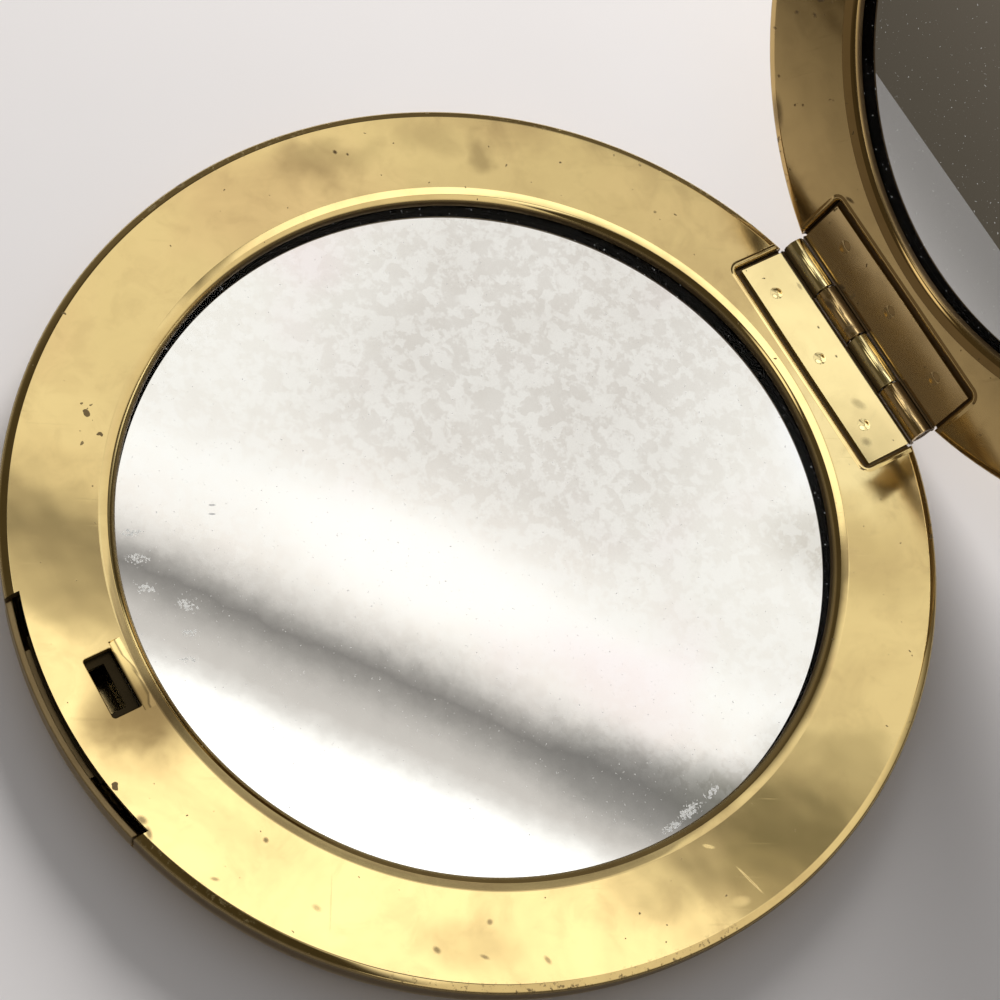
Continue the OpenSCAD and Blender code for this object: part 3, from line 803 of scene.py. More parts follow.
def shell_side(inset, start, stop):
    """Side of a shell, drawn in by an inset, from the rim at 0 degrees to the flat back at 90.

    It is a quarter of a superellipse: the cosine and sine of the angle are raised to two over its fullness.
    """
    a = np.radians(np.linspace(start, stop, 49))
    power = 2 / SHELL_FULL
    return np.column_stack((
        BACK_FLAT_R + (SHELL_SIDE_R - BACK_FLAT_R - inset) * np.clip(np.cos(a), 0, 1) ** power,
        SHELL_TOP - (SHELL_TOP - inset) * np.clip(np.sin(a), 0, 1) ** power,
    ))


def shell_radius(z):
    """Radius of the shell's outside at a height, on the same superellipse."""
    rise = np.clip((SHELL_TOP - np.asarray(z, float)) / SHELL_TOP, 0, 1)
    return BACK_FLAT_R + (SHELL_SIDE_R - BACK_FLAT_R) * (1 - rise ** SHELL_FULL) ** (1 / SHELL_FULL)


def pocket_outline(grow):
    """Hinge pocket's outline: two round inner corners, and sides that run out past the rim."""
    corner, side, past = 0.5, POCKET_HALF + grow, 37.5
    right = arc((POCKET_HALF - corner, POCKET_Y + corner), corner + grow, 0, -90, 10)
    left = arc((-POCKET_HALF + corner, POCKET_Y + corner), corner + grow, -90, -180, 10)
    return np.vstack(([(side, past)], right, left, [(-side, past)]))[::-1]


def press_pocket(piece, border):
    """Adds the tray under the hinge pocket, sinks the pocket with its rounded border, and notches the rim.

    Around the pocket the face swells: its height follows half a cosine from 0 to the rise. An apron of sheet
    lies between two arcs under the barrel.
    """
    swell = np.radians(np.linspace(0, 180, 9))
    rings = []
    for grow, rise in zip(np.linspace(SWELL_OUT, SWELL_IN, 9), BORDER_RISE * (1 - np.cos(swell)) / 2):
        outline = pocket_outline(grow)
        outline[:, 1] = np.minimum(outline[:, 1], NOTCH_Y - 0.3)
        rings.append(at_height(outline, FACE_Z + rise))
    base_ring = rings[0].copy()
    base_ring[:, 2] -= 0.1
    combine(piece, loft([base_ring] + rings), "UNION")
    tray = pocket_outline(SHEET)
    tray[:, 1] = np.minimum(tray[:, 1], NOTCH_Y - 0.02)
    combine(piece, prism(tray, POCKET_FLOOR - SHEET, FACE_Z - SHEET * 0.6), "UNION")
    sunk = flared_cutter(pocket_outline, POCKET_FLOOR, FACE_Z + BORDER_RISE, border, POCKET_FILLET)
    combine(piece, sunk, "DIFFERENCE")
    combine(piece, block(-NOTCH_HALF, NOTCH_HALF, NOTCH_Y, RIM_R + CLEAR, NOTCH_Z, FACE_Z + CLEAR), "DIFFERENCE")
    axis = (PIN[1], PIN[2])
    apron = np.vstack((arc(axis, APRON_IN, 202, 246, 16), arc(axis, APRON_OUT, 246, 210, 12)))
    combine(piece, along_x(apron, -NOTCH_HALF, NOTCH_HALF), "UNION")
    for x in STUD_X:
        combine(piece, prism(arc((x, STUD_Y), STUD_HOLE_R, 0, 352.5, 47), 0, FACE_Z + CLEAR), "DIFFERENCE")


def shaded_underside_faces(centre, normal):
    """Picks the faces that look down or lie behind the sheet, which take a near-black painted shade."""
    radius = np.hypot(centre[:, 0], centre[:, 1])
    depth = FACE_Z - centre[:, 2]
    below = (normal[:, 2] < -0.05) & (radius < SKIRT_R + 0.05) & (depth > 0.2)
    skirt = (radius < SKIRT_R) & (radius > UNDERCUT_R - 0.02) & (depth > SHEET + 0.05) & (normal[:, 2] < 0.5)
    lip = (radius < OPENING_R + LIP_R + 0.1) & (depth > SHEET + 0.01) & (normal[:, 2] < 0.3)
    inward = normal[:, 0] * centre[:, 0] + normal[:, 1] * centre[:, 1] > 0
    return below | (skirt & ~inward) | (lip & inward)


class COMPACT_OT_frames(bpy.types.Operator):
    """Stamped ring of each half with its hinge pocket, the base's latch slot and the lid's slit for the hook"""

    bl_idname = "compact.frames"
    bl_label = "Make frames"

    def execute(self, context):
        border = context.scene.compact_shape.pocket_border / MM
        base = make_object("base_ring", revolve(frame_profile()))
        press_pocket(base, border)
        self.cut_latch(base)
        finish_piece(base, "base", ["frame", "dark"], "base_frame", dark=shaded_underside_faces)
        lid = make_object("lid_ring", revolve(frame_profile()))
        press_pocket(lid, border)
        slit = rounded_box(-LATCH_X - SLIT_HALF, -LATCH_X + SLIT_HALF, SLIT_FAR, SLIT_NEAR, SLIT_CORNER)
        combine(lid, prism(slit, FACE_Z - CLEAR, FACE_Z + CLEAR), "DIFFERENCE")
        finish_piece(lid, "lid", ["lid_frame", "dark"], "lid_frame", dark=shaded_underside_faces)
        return {"FINISHED"}

    @staticmethod
    def cut_latch(base):
        """Presses the ramp, cuts the slot through it, and sets the edge back behind the button."""
        def ramp_at(z0, z1, z2):
            outline = [(-SLOT_IN + RAMP_RUN, z0), (-SLOT_IN, z1), (-SLOT_IN, z2), (-SLOT_IN + RAMP_RUN, z2)]
            return along_x(outline, LATCH_X - RAMP_HALF, LATCH_X + RAMP_HALF)

        def slot_at(grow):
            return rounded_box(LATCH_X - SLOT_HALF, LATCH_X + SLOT_HALF, -SLOT_OUT, -SLOT_IN, SLOT_CORNER, grow)

        combine(base, ramp_at(FACE_Z - SHEET, FACE_Z - SHEET - RAMP_DROP, FACE_Z - 0.3), "UNION")
        combine(base, ramp_at(FACE_Z, FACE_Z - RAMP_DROP, FACE_Z + 0.5), "DIFFERENCE")
        combine(base, flared_cutter(slot_at, FACE_Z - 1.5, FACE_Z, SLOT_BORDER, 0.01), "DIFFERENCE")
        for radius, top in ((CUT_R, FACE_Z + CLEAR), (UNDERCUT_R, FACE_Z - SHEET)):
            side = math.degrees(math.asin(CUT_HALF / radius))
            edge = arc((0, 0), radius, -90 - side, -90 + side, 48)
            combine(base, prism(np.vstack((edge, [(CUT_HALF, -38), (-CUT_HALF, -38)])), 0, top), "DIFFERENCE")


class COMPACT_OT_shells(bpy.types.Operator):
    """Outer dish of each half: flat back, full rounded side, narrow flat under the hinge, and the rim's cuts"""

    bl_idname = "compact.shells"
    bl_label = "Make shells"

    def execute(self, context):
        profile = np.vstack(([(0, 0)], shell_side(0, 90, 0), shell_side(SHELL_T, 0, 90), [(0, SHELL_T)]))
        for body in ("base", "lid"):
            points, faces = revolve(profile, closed=False)
            outside = np.hypot(points[:, 0], points[:, 1]) > shell_radius(points[:, 2]) - SHELL_T / 2
            points[:, 1] = np.minimum(points[:, 1], PIN[1] - UNDER_HINGE - np.where(outside, 0, INSIDE_STEP))
            piece = make_object(f"{body}_dish", (points, faces))
            combine(piece, block(-NOTCH_HALF, NOTCH_HALF, NOTCH_Y, RIM_R + CLEAR, NOTCH_Z, FACE_Z), "DIFFERENCE")
            if body == "base":
                cut = block(-CUT_HALF, CUT_HALF, -RIM_R - CLEAR, -20, BUTTON_BOTTOM - 0.2, FACE_Z)
                combine(piece, cut, "DIFFERENCE")
            finish_piece(piece, body, ["shell"], f"{body}_shell")
        return {"FINISHED"}


class COMPACT_OT_mirrors(bpy.types.Operator):
    """Plate glass with a ground edge and its silvering, for each half"""

    bl_idname = "compact.mirrors"
    bl_label = "Make mirrors"

    def execute(self, context):
        ground, low, high, rim = GROUND_EDGE, SILVER_TOP + SILVER_GAP, GLASS_TOP, GLASS_R
        glass = np.array([
            (0, low), (rim - ground, low), (rim, low + ground), (rim, high - ground), (rim - ground, high), (0, high)
        ])
        silver = np.array([(0, SILVER_BOTTOM), (rim, SILVER_BOTTOM), (rim, SILVER_TOP), (0, SILVER_TOP)])
        for body in ("base", "lid"):
            piece = make_object(f"{body}_plate_glass", revolve(glass, 180, closed=False))
            finish_piece(piece, body, ["glass"], f"{body}_mirror_glass")
            piece = make_object(f"{body}_silver", revolve(silver, 180, closed=False))
            finish_piece(piece, body, ["silver"], f"{body}_mirror_silvering")
        return {"FINISHED"}


def leaf_shape(rounding):
    """Hinge leaf: a flat plate, and on its first and third knuckles a sheet rolled round the pin.

    The rolled sheet's outline follows a circle of the barrel's radius from straight down, round the far side
    and the top, to just above the plate, and comes back along a circle that is smaller by the sheet.
    """
    axis, edge = (PIN[1], PIN[2]), PIN[1] - BARREL_R - KNUCKLE_GAP
    piece = make_object("leaf", block(-LEAF_W / 2, LEAF_W / 2, LEAF_Y, edge, LEAF_Z, LEAF_Z + LEAF_T))
    roll = np.vstack((
        [(edge - ROLL_LAP, PIN[2] - BARREL_R)],
        arc(axis, BARREL_R, -90, ROLL_END, 72),
        arc(axis, BARREL_R - LEAF_T, ROLL_END, -90, 60),
        [(edge - ROLL_LAP, PIN[2] - BARREL_R + LEAF_T)],
    ))
    for k in (0, 2):
        x0 = -LEAF_W / 2 + k * KNUCKLE + (KNUCKLE_GAP / 2 if k else 0)
        x1 = -LEAF_W / 2 + (k + 1) * KNUCKLE - KNUCKLE_GAP / 2
        combine(piece, along_x(roll, x0, x1), "UNION")
    soften(piece, rounding)
    return piece


def stud_heads():
    """Low heads hammered into the leaf: height follows half a cosine of the radius, with a short shank below."""
    radius = np.linspace(0, HEAD_R, 13)
    dome = np.column_stack((radius, HEAD_EDGE + HEAD_RISE * (1 + np.cos(np.pi * radius / HEAD_R))))
    bottom = POCKET_FLOOR - SHEET - 0.14
    profile = np.vstack((dome, [
        (SHANK_R, SHANK_TOP), (SHANK_R, bottom + FOOT_T), (FOOT_R, bottom + FOOT_T), (FOOT_R, bottom), (0, bottom)
    ]))
    points, faces = revolve(profile, 48, closed=False)
    places = np.array([(x, STUD_Y, 0) for x in STUD_X])
    moved = (points[None] + places[:, None]).reshape(-1, 3)
    return moved, [[v + i * len(points) for v in face] for i in range(3) for face in faces]


class COMPACT_OT_hinge(bpy.types.Operator):
    """Two rolled leaves, the studs that hold them, and the pin"""

    bl_idname = "compact.hinge"
    bl_label = "Make hinge"

    def execute(self, context):
        rounding = context.scene.compact_shape.edge_round / MM
        for body, finish, lean in (("base", "leaf", LEAF_LEAN), ("lid", "lid_leaf", 0.0)):
            piece = leaf_shape(rounding)
            piece.name = f"{body}_rolled_leaf"
            finish_piece(piece, body, [finish], f"{body}_hinge_leaf", lean=lean)
            piece = make_object(f"{body}_stud_heads", stud_heads())
            finish_piece(piece, body, [finish], f"{body}_leaf_studs")
        end = LEAF_W / 2 - 0.04
        pin = make_object("turned_pin", along_x(arc((PIN[1], PIN[2]), PIN_R, 0, 352.5, 47), -end, end))
        soften(pin, PIN_ROUND)
        finish_piece(pin, "base", ["leaf"], "hinge_pin")
        return {"FINISHED"}


def button_shape():
    """Thumb piece: a curved wall that stands proud of the shell.

    At height z and width x its outside lies at y = -sqrt(R squared - x squared), where R is the shell's radius
    at z plus the step by which the button stands proud; its inside is the same with the wall taken off R.
    """
    z = np.linspace(BUTTON_BOTTOM, BUTTON_TOP, 17)
    outer = np.column_stack((shell_radius(z) + BUTTON_PROUD, z))
    inner = np.column_stack((shell_radius(z) + BUTTON_PROUD - BUTTON_WALL, z))[::-1]
    ring = np.vstack((outer, inner))
    x = np.linspace(-BUTTON_HALF, BUTTON_HALF, 65)[:, None]
    y = -np.sqrt(ring[:, 0][None] ** 2 - x ** 2)
    rings = np.stack((np.broadcast_to(x, y.shape), y, np.broadcast_to(ring[:, 1][None], y.shape)), -1)
    return loft(rings)


class COMPACT_OT_latch(bpy.types.Operator):
    """Push button with its ledge; the hook, its rivets and the bowed spring with softened edges"""

    bl_idname = "compact.latch"
    bl_label = "Make latch"

    def execute(self, context):
        rounding = context.scene.compact_shape.edge_round / MM
        button = make_object("thumb_button", button_shape())
        soften(button, BUTTON_ROUND, 4)
        x = np.linspace(LATCH_X - LEDGE_HALF, LATCH_X + LEDGE_HALF, 33)
        inner, step, outer = (
            np.column_stack((x, -np.sqrt(radius ** 2 - x ** 2))) for radius in (FLANGE_R, FLANGE_R + SHEET, LEDGE_R)
        )
        combine(button, prism(np.vstack((inner, outer[::-1])), LEDGE_LOW, LEDGE_TOP), "UNION")
        combine(button, prism(np.vstack((inner, step[::-1])), LEDGE_LOW - 1.0, LEDGE_LOW + 0.1), "UNION")
        finish_piece(button, "latch", ["button"], "push_button")
        for node, body, slot, finish in (
            ("latch_hook", "lid", "inner_brass", "inner"),
            ("hook_rivets", "lid", "inner_brass", "inner"),
            ("latch_spring", "base", "spring_steel", "spring"),
        ):
            piece = self.softened_copy(node, rounding)
            set_material(piece, finish)
            declare(piece, body, node)
        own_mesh(piece)
        return {"FINISHED"}

    @staticmethod
    def softened_copy(node, rounding):
        """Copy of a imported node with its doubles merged, its flats joined and its edges rounded."""
        mesh = frame["nodes"][node].data.copy()
        with edited(mesh) as work:
            bmesh.ops.remove_doubles(work, verts=work.verts, dist=1e-7)
            bmesh.ops.dissolve_limit(
                work, angle_limit=math.radians(1), use_dissolve_boundaries=False, verts=work.verts, edges=work.edges
            )
        piece = bpy.data.objects.new(f"soft_{node}", mesh)
        bpy.context.scene.collection.objects.link(piece)
        soften(piece, rounding * MM, 2)
        piece.data.shade_smooth()
        piece.data.set_sharp_from_angle(angle=math.radians(35))
        return piece


class COMPACT_OT_inner_parts(bpy.types.Operator):
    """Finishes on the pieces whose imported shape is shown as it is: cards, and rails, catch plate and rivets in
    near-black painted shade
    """

    bl_idname = "compact.inner_parts"
    bl_label = "Finish inner parts"

    def execute(self, context):
        for nodes, finish in (
            (("base_backing_card", "lid_backing_card"), "card"),
            (("catch_rails", "catch_plate", "catch_rivets"), "shaded"),
        ):
            for name in nodes:
                set_material(frame["nodes"][name], finish)
        return {"FINISHED"}


# Marks on the metal and the silver, in centimetres on the half as it lies:
# (x, y, half length, half width, angle in degrees, strength)
FRAME_MARKS = (
    (-3.249, 0.518, 0.028, 0.022, 10, 1.0), (-3.19, 0.60, 0.018, 0.014, 0, 0.9), (-3.49, -0.74, 0.05, 0.035, 70, 0.9),
    (-3.44, -0.92, 0.02, 0.05, 20, 0.8), (-3.39, -1.03, 0.02, 0.06, 20, 0.8), (0.90, -3.335, 0.06, 0.04, 30, 0.55),
    (1.004, -3.335, 0.07, 0.03, -10, 0.5), (1.423, -2.645, 0.03, 0.026, 0, 0.6),
    (1.501, -3.087, 0.045, 0.02, 50, 0.4), (2.009, -2.563, 0.05, 0.03, 30, 0.3), (2.659, -1.97, 0.045, 0.03, 20, 0.5),
    (2.666, -1.54, 0.03, 0.03, 0, 0.45), (2.861, -1.697, 0.05, 0.02, 40, 0.4), (3.091, -1.314, 0.05, 0.025, 10, 0.4),
    (-1.697, 2.638, 0.018, 0.018, 0, 0.6), (-2.125, 2.76, 0.02, 0.016, 0, 0.5),
)
# Darker patches multiplied into the frame's brass; the two by the latch slot are painted shade.
FRAME_DARK_PATCHES = (
    (0.20, -2.99, 0.62, 0.50, 20, 1.0), (0.34, -3.08, 0.34, 0.30, 35, 0.9), (-2.80, 1.60, 0.27, 0.18, -28, 0.5),
    (-3.22, 0.40, 0.62, 0.24, 84, 0.5), (-3.03, 1.25, 0.40, 0.24, 72, 0.24), (2.72, -1.75, 0.60, 0.26, 60, 0.3),
    (3.15, -0.35, 0.40, 0.24, 80, 0.25),
)
FRAME_SCUFFS = (
    (3.30, 0.298, 0.16, 0.012, 15, 0.8), (2.04, -2.47, 0.34, 0.010, -31, 0.35), (2.95, 0.16, 0.06, 0.02, 50, 0.5),
    (3.40, 0.15, 0.10, 0.05, 70, 0.3), (2.62, -0.20, 0.06, 0.05, 20, 0.3),
)
LID_MARKS = (
    (2.354, 2.324, 0.03, 0.02, 40, 0.8), (2.224, 2.209, 0.03, 0.025, 0, 0.8), (2.397, 2.566, 0.03, 0.015, 30, 0.6),
    (1.874, 2.982, 0.2, 0.08, -35, 0.45), (2.081, 2.781, 0.02, 0.015, 0, 0.7), (1.805, 2.81, 0.015, 0.015, 0, 0.7),
    (1.756, 2.751, 0.015, 0.015, 0, 0.7), (0.898, 2.884, 0.06, 0.02, 20, 0.6),
)
LEAF_MARKS = (
    (-0.239, 3.335, 0.018, 0.012, 0, 0.7), (0.044, 3.324, 0.018, 0.012, 0, 0.7), (0.48, 3.25, 0.09, 0.05, 30, 0.25),
    (0.786, 3.117, 0.06, 0.05, 30, 0.45), (-0.62, 3.40, 0.05, 0.02, 0, 0.3),
)
LID_LEAF_MARKS = (
    (0.34, 3.52, 0.10, 0.04, 10, 0.8), (0.18, 3.60, 0.07, 0.05, -20, 0.8), (0.08, 3.50, 0.05, 0.06, 0, 0.7),
    (0.42, 3.42, 0.06, 0.03, 40, 0.8), (0.30, 3.38, 0.03, 0.05, 0, 0.5),
)
SILVER_MARKS = (
    (-1.10, -2.37, 0.15, 0.05, 70, 1.0), (-0.90, -2.43, 0.14, 0.06, 62, 1.0), (-0.67, -2.48, 0.12, 0.06, 50, 1.0),
    (-0.42, -2.28, 0.13, 0.07, 40, 1.0), (-0.22, -2.36, 0.12, 0.05, 60, 1.0), (-0.04, -2.46, 0.12, 0.035, 60, 1.0),
    (2.64, 0.26, 0.07, 0.20, 10, 1.0), (2.68, 0.08, 0.05, 0.16, 5, 1.0), (2.60, 0.48, 0.05, 0.12, 12, 1.0),
)
SILVER_NICKS = ((-1.04, -1.74, 0.034, 0.010, 64, 0.9), (-0.976, -1.774, 0.034, 0.010, 64, 0.9))


class COMPACT_OT_finishes(bpy.types.Operator):
    """Brass in its several states, glass, silvering, card and spring steel"""

    bl_idname = "compact.finishes"
    bl_label = "Make finishes"

    def execute(self, context):
        settings = context.scene.compact_finish
        colour, dull, wear = tuple(settings.brass), tuple(settings.dull), settings.wear
        build_groups()
        MATERIALS.update(
            frame=brass(
                "frame brass", colour, dull, 0.05, wear, 0.04, rim=0.7, marks=FRAME_MARKS, scuffs=FRAME_SCUFFS,
                dark_patches=FRAME_DARK_PATCHES, stamped=True, hem=0.8,
            ),
            # The lid's frame and leaf are darker copies of the base's brass: painted shade for the open lid.
            lid_frame=brass(
                "shaded lid frame brass", (0.58, 0.41, 0.175), (0.40, 0.28, 0.12), 0.06, wear * 0.9, 0.06, rim=0.7,
                seed=3.1, marks=LID_MARKS, stamped=True, hem=0.6,
            ),
            shell=brass("shell brass", (0.70, 0.53, 0.25), dull, 0.16, wear, 0.12, seed=6.2, hem=0.85),
            button=brass("button brass", (0.72, 0.55, 0.26), dull, 0.15, wear, 0.1, seed=1.7, hem=0.7),
            leaf=brass(
                "leaf brass", (0.94, 0.80, 0.41), (0.84, 0.68, 0.34), 0.07, wear, 0.05, seed=8.4,
                marks=LEAF_MARKS, rolled=True,
            ),
            lid_leaf=brass(
                "shaded lid leaf brass", (0.74, 0.54, 0.26), dull, 0.10, wear, 0.10, seed=9.9,
                marks=LID_LEAF_MARKS, rolled=True,
            ),
            inner=brass("inner brass", (0.62, 0.48, 0.25), dull, 0.3, wear, 0.15, seed=4.4, own=False),
            # Painted shade on the catch plate, its rails and rivets, which lie in shadow under the slot.
            shaded=brass("painted shade brass", (0.05, 0.038, 0.02), (0.03, 0.022, 0.012), 0.5, wear, 0.1, own=False),
            # Near-black painted shade on the frames' undersides, which the mirrors show as a dark band.
            dark=plain_finish(
                "painted shade underside", (0.016, 0.012, 0.008), (0.03, 0.022, 0.014), 30.0, 0.7, 0.0, own=True, shine=0.0
            ),
            card=plain_finish("backing card", (0.30, 0.27, 0.23), (0.38, 0.35, 0.30), 60.0, 0.85, 0.0, 0.4),
            spring=plain_finish("spring strip", (0.42, 0.43, 0.44), (0.52, 0.53, 0.54), 50.0, 0.35, 1.0),
            glass=clear_glass(),
            silver=silvering(SILVER_MARKS, SILVER_NICKS),
        )
        return {"FINISHED"}


# The studio seen in reflections: levels of grey by place across the card, and soft ovals of other tones
# as (across, along), half sizes, share and colour. Across and along are turned from the card's own x and y
ACROSS, ALONG = (-0.6157, 0.788), (-0.788, -0.6157)
CARD_TONES = (
    (-0.8, 0.12), (-0.5, 0.14), (-0.38, 1.5), (-0.28, 1.5), (-0.16, 0.2), (0.09, 0.2), (0.17, 1.9), (0.333, 1.65),
    (0.348, 1.1), (0.356, 0.70), (0.370, 0.60), (0.379, 0.40), (0.388, 0.25), (0.395, 0.40), (0.404, 0.74),
    (0.418, 1.0), (0.45, 1.10), (0.475, 0.93), (0.50, 0.78), (0.55, 0.72), (0.62, 0.74), (0.70, 0.76), (0.72, 0.32),
    (0.88, 0.2), (1.0, 0.42),
)
CARD_SPOTS = (
    ((0.63, -0.178), (0.08, 0.062), 1.0, (1.25, 1.32, 1.45)),
    ((0.445, 0.0), (0.035, 0.10), 0.8, (1.18, 1.14, 1.09)),
    ((0.425, -0.218), (0.05, 0.05), 0.9, (0.38, 0.355, 0.30)),
    ((0.540, -0.19), (0.03, 0.06), 0.6, (0.58, 0.53, 0.46)),
    ((0.396, -0.200), (0.032, 0.075), 1.0, (0.22, 0.21, 0.175)),
    ((0.386, -0.13), (0.03, 0.07), 0.5, (0.17, 0.165, 0.155)),
    ((0.366, -0.216), (0.024, 0.052), 1.0, (0.48, 0.45, 0.38)),
)
OUTER_SPOTS = (
    ((-0.30, 0.60), (0.13, 0.24), 1.0, (1.5, 1.4, 1.2)), ((0.03, 0.34), (0.18, 0.15), 1.0, (1.5, 1.45, 1.3)),
)


# Where the photograph was taken from, fitted to the edges of both halves: metres and degrees
CAMERA_AT, CAMERA_TURN = (0.04463, -0.06205, 0.16324), (23.881, -11.251, 59.161)

# The key light's place and width in metres, and the floor's half width in millimetres
KEY_AT, KEY_SIZE, FLOOR_HALF = (-0.28, 0.29, 0.205), 0.22, 2500.0

# The ambient light is strongest from one direction and falls to a shade; the camera sees a plain backdrop
BRIGHT_FROM, SHADE, BACKDROP = (-0.58, 0.24, 0.78), (0.05, 0.05, 0.05), (0.86, 0.835, 0.82)


class COMPACT_OT_stage(bpy.types.Operator):
    """Camera at the photograph's angle, pale floor, soft key light and the studio all round"""

    bl_idname = "compact.stage"
    bl_label = "Make stage"

    def execute(self, context):
        settings = context.scene.compact_stage
        self.make_camera(context.scene, settings)
        self.make_floor(settings)
        self.make_light(settings)
        self.make_studio(context.scene, settings)
        context.scene.view_settings.view_transform = "Standard"
        return {"FINISHED"}

    @staticmethod
    def make_camera(scene, settings):
        """Camera above the front of the case, a little to its right, rolled as it was held."""
        data = bpy.data.cameras.new("camera")
        data.lens, data.sensor_width = settings.lens, 36.0
        data.clip_start, data.clip_end = 0.01, 20.0
        camera = bpy.data.objects.new("camera", data)
        camera.location = CAMERA_AT
        camera.rotation_euler = [math.radians(angle) for angle in CAMERA_TURN]
        scene.collection.objects.link(camera)
        scene.camera = camera

    @staticmethod
    def make_floor(settings):
        """Broad pale table top under the case."""
        corners = np.array([(-1, -1, 0), (1, -1, 0), (1, 1, 0), (-1, 1, 0)]) * FLOOR_HALF
        floor = make_object("floor", (corners, [[0, 1, 2, 3]]))
        floor.data.transform(Matrix.Scale(MM, 4))
        if floor.data.polygons[0].normal.z < 0:
            floor.data.flip_normals()
        material, tree, shader = blank_material("table top")
        mottle = noise(tree, add(tree, "ShaderNodeTexCoord").outputs["Object"], 60.0, 3.0)
        floor_colour = tuple(settings.floor)
        warmer = tuple(c * k for c, k in zip(floor_colour, (0.97, 0.965, 0.96)))
        feed(tree, shader, Base_Color=mix_colour(tree, mottle, floor_colour, warmer))
        shader.inputs["Roughness"].default_value = 0.55
        shader.inputs["Specular IOR Level"].default_value = 0.2
        floor.data.materials.append(material)

    @staticmethod
    def make_light(settings):
        """Soft key light beyond the case, to the left of the lid."""
        data = bpy.data.lights.new("key light", "AREA")
        data.shape, data.size, data.energy = "DISK", KEY_SIZE, settings.key
        light = bpy.data.objects.new("key light", data)
        light.location = KEY_AT
        light.rotation_euler = (Vector((0, 0, 0)) - light.location).to_track_quat("-Z", "Y").to_euler()
        light.visible_glossy = light.visible_transmission = False
        bpy.context.scene.collection.objects.link(light)

    @staticmethod
    def make_card(tree, way):
        """Tones that reflections see in each direction (x, y, z).

        A direction meets a card overhead at (x / z, y / z). Across and along are that place, turned so that one
        grey band runs straight across the card. Pale flakes mottle its far part, and low directions are darker.
        """
        x, y, z = split(tree, way)
        rise = math_node(tree, "MAXIMUM", z, 0.08)
        u, v = math_node(tree, "DIVIDE", x, rise), math_node(tree, "DIVIDE", y, rise)
        card = add(tree, "ShaderNodeCombineXYZ", {0: u, 1: v}).outputs[0]
        across = math_node(tree, "MULTIPLY_ADD", u, ACROSS[0], times(tree, v, ACROSS[1]))
        along = math_node(tree, "MULTIPLY_ADD", u, ALONG[0], times(tree, v, ALONG[1]))
        shifted = across
        for scale, detail, roughness, reach in ((24.0, 2.0, 0.5, 0.006), (90.0, 4.0, 0.65, 0.009)):
            wander = math_node(tree, "SUBTRACT", noise(tree, card, scale, detail, roughness), 0.5)
            shifted = math_node(tree, "MULTIPLY_ADD", wander, reach, shifted)

        def grey(level):
            return (level, level * (0.975 if level > 1 else 0.94), level * (0.93 if level > 1 else 0.875))

        low, high = CARD_TONES[0][0], CARD_TONES[-1][0]
        span = high - low
        stops = [((w - low) / span, grey(level)) for w, level in CARD_TONES]
        tone = colour_ramp(tree, math_node(tree, "MULTIPLY_ADD", shifted, 1 / span, -low / span), stops)
        ends = ramp(tree, math_node(tree, "ABSOLUTE", math_node(tree, "ADD", along, 0.01)), 0.04, 0.15)
        above = times(tree, ramp(tree, across, 0.43, 0.49), ramp(tree, across, 0.72, 0.70))
        tone = mix_colour(tree, times(tree, ends, above), tone, (0.95, 0.912, 0.85))
        place = add(tree, "ShaderNodeCombineXYZ", {0: shifted, 1: along}).outputs[0]

        def add_spots(tone, spots, core):
            for where, halves, share, shade in spots:
                away = oval(tree, place, *where, *halves)
                tone = mix_colour(tree, times(tree, ramp(tree, away, 1.0, core), share), tone, shade)
            return tone

        tone = add_spots(tone, CARD_SPOTS, 0.35)
        torn = vector_node(tree, "MULTIPLY_ADD", noise_colour(tree, card, 160.0, 3.0), (0.012, 0.012, 0.0), card)
        patches = add(tree, "ShaderNodeTexVoronoi", {"Vector": torn, "Scale": 170.0}).outputs["Color"]
        grain = math_node(tree, "MULTIPLY_ADD", patches, 0.22, noise(tree, card, 100.0, 7.0, 0.78))
        clouds = ramp(tree, noise(tree, card, 24.0, 4.0, 0.65), 0.38, 0.62)
        mottle = math_node(tree, "MULTIPLY_ADD", ramp(tree, grain, 0.57, 0.65), 0.7, times(tree, clouds, 0.3))
        covered = ramp(tree, across, 0.385, 0.44)
        tone = mix_colour(tree, times(tree, times(tree, mottle, covered), 0.40), tone, (1.08, 1.07, 1.04))
        blush = times(tree, ramp(tree, noise(tree, card, 9.0, 2.0), 0.5, 0.68), covered)
        tone = mix_colour(tree, times(tree, blush, 0.6), tone, (1.0, 0.915, 0.97), "MULTIPLY")
        beyond = math_node(tree, "SUBTRACT", along, across)
        for edge, start, stop, shade in (
            (beyond, 0.20, 0.34, (0.055, 0.044, 0.026)), (along, 0.21, 0.28, (0.07, 0.056, 0.034)),
            (along, -0.25, -0.32, (0.92, 0.86, 0.76)),
        ):
            tone = mix_colour(tree, ramp(tree, edge, start, stop), tone, shade)
        tone = add_spots(tone, OUTER_SPOTS, 0.4)
        near_side = mix_colour(tree, ramp(tree, z, -0.02, 0.14), (0.085, 0.072, 0.055), (0.165, 0.138, 0.110))
        ground = mix_colour(tree, ramp(tree, y, 0.3, -0.3), (0.14, 0.118, 0.09), near_side)
        return mix_colour(tree, ramp(tree, z, 0.66, 0.46), tone, ground)

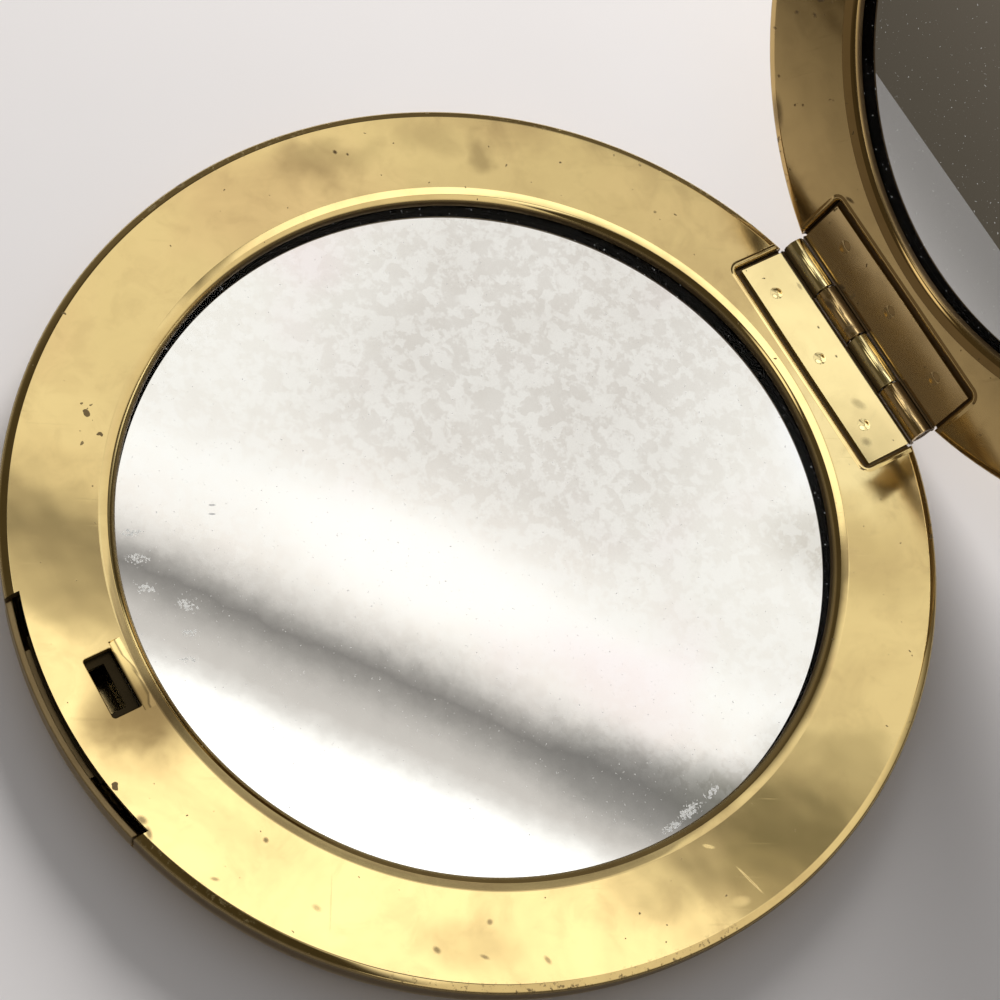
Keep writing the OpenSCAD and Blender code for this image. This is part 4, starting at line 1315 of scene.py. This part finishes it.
    @classmethod
    def make_studio(cls, scene, settings):
        """Plain soft light all round, a pale backdrop, and the card in reflections."""
        world = bpy.data.worlds.new("studio")
        scene.world = world
        world.use_nodes = True
        tree = world.node_tree
        tree.nodes.clear()
        way = add(tree, "ShaderNodeTexCoord").outputs["Generated"]
        tone = cls.make_card(tree, way)
        path = add(tree, "ShaderNodeLightPath").outputs
        mirrored = larger(tree, path["Is Glossy Ray"], path["Is Transmission Ray"])
        facing = vector_node(tree, "DOT_PRODUCT", way, BRIGHT_FROM)
        soft = mix_colour(tree, ramp(tree, facing, -0.2, 0.9), SHADE, (settings.ambient,) * 3)
        plain = mix_colour(tree, path["Is Camera Ray"], soft, BACKDROP)
        light = add(tree, "ShaderNodeBackground", {"Color": mix_colour(tree, mirrored, plain, tone), "Strength": 1.0})
        output = tree.nodes.new("ShaderNodeOutputWorld")
        tree.links.new(light.outputs[0], output.inputs["Surface"])


class COMPACT_PT_panel(bpy.types.Panel):
    """Sizes, finish, stage and the steps that make the compact"""

    bl_idname = "COMPACT_PT_panel"
    bl_label = "Compact"
    bl_space_type = "VIEW_3D"
    bl_region_type = "UI"
    bl_category = "Compact"

    def draw(self, context):
        scene = context.scene
        for group in (scene.compact_shape, scene.compact_finish, scene.compact_stage):
            box = self.layout.box()
            for name in group.bl_rna.properties.keys():
                if name not in ("rna_type", "name"):
                    box.prop(group, name)
        for step in STEPS:
            self.layout.operator(step.bl_idname)


GROUPS = (("compact_shape", CompactShape), ("compact_finish", CompactFinish), ("compact_stage", CompactStage))
STEPS = (
    COMPACT_OT_finishes, COMPACT_OT_frames, COMPACT_OT_shells, COMPACT_OT_mirrors, COMPACT_OT_hinge,
    COMPACT_OT_latch, COMPACT_OT_inner_parts, COMPACT_OT_stage,
)


def register():
    """Registers the settings, the steps and the panel."""
    for name, group in GROUPS:
        bpy.utils.register_class(group)
        setattr(bpy.types.Scene, name, PointerProperty(type=group))
    for step in STEPS:
        bpy.utils.register_class(step)
    bpy.utils.register_class(COMPACT_PT_panel)


def unregister():
    """Removes what register added."""
    bpy.utils.unregister_class(COMPACT_PT_panel)
    for step in reversed(STEPS):
        bpy.utils.unregister_class(step)
    for name, group in reversed(GROUPS):
        delattr(bpy.types.Scene, name)
        bpy.utils.unregister_class(group)


def main():
    """Makes the whole scene."""
    register()
    for step in (
        bpy.ops.compact.finishes, bpy.ops.compact.frames, bpy.ops.compact.shells, bpy.ops.compact.mirrors,
        bpy.ops.compact.hinge, bpy.ops.compact.latch, bpy.ops.compact.inner_parts, bpy.ops.compact.stage,
    ):
        step()


if __name__ == "__main__":
    main()
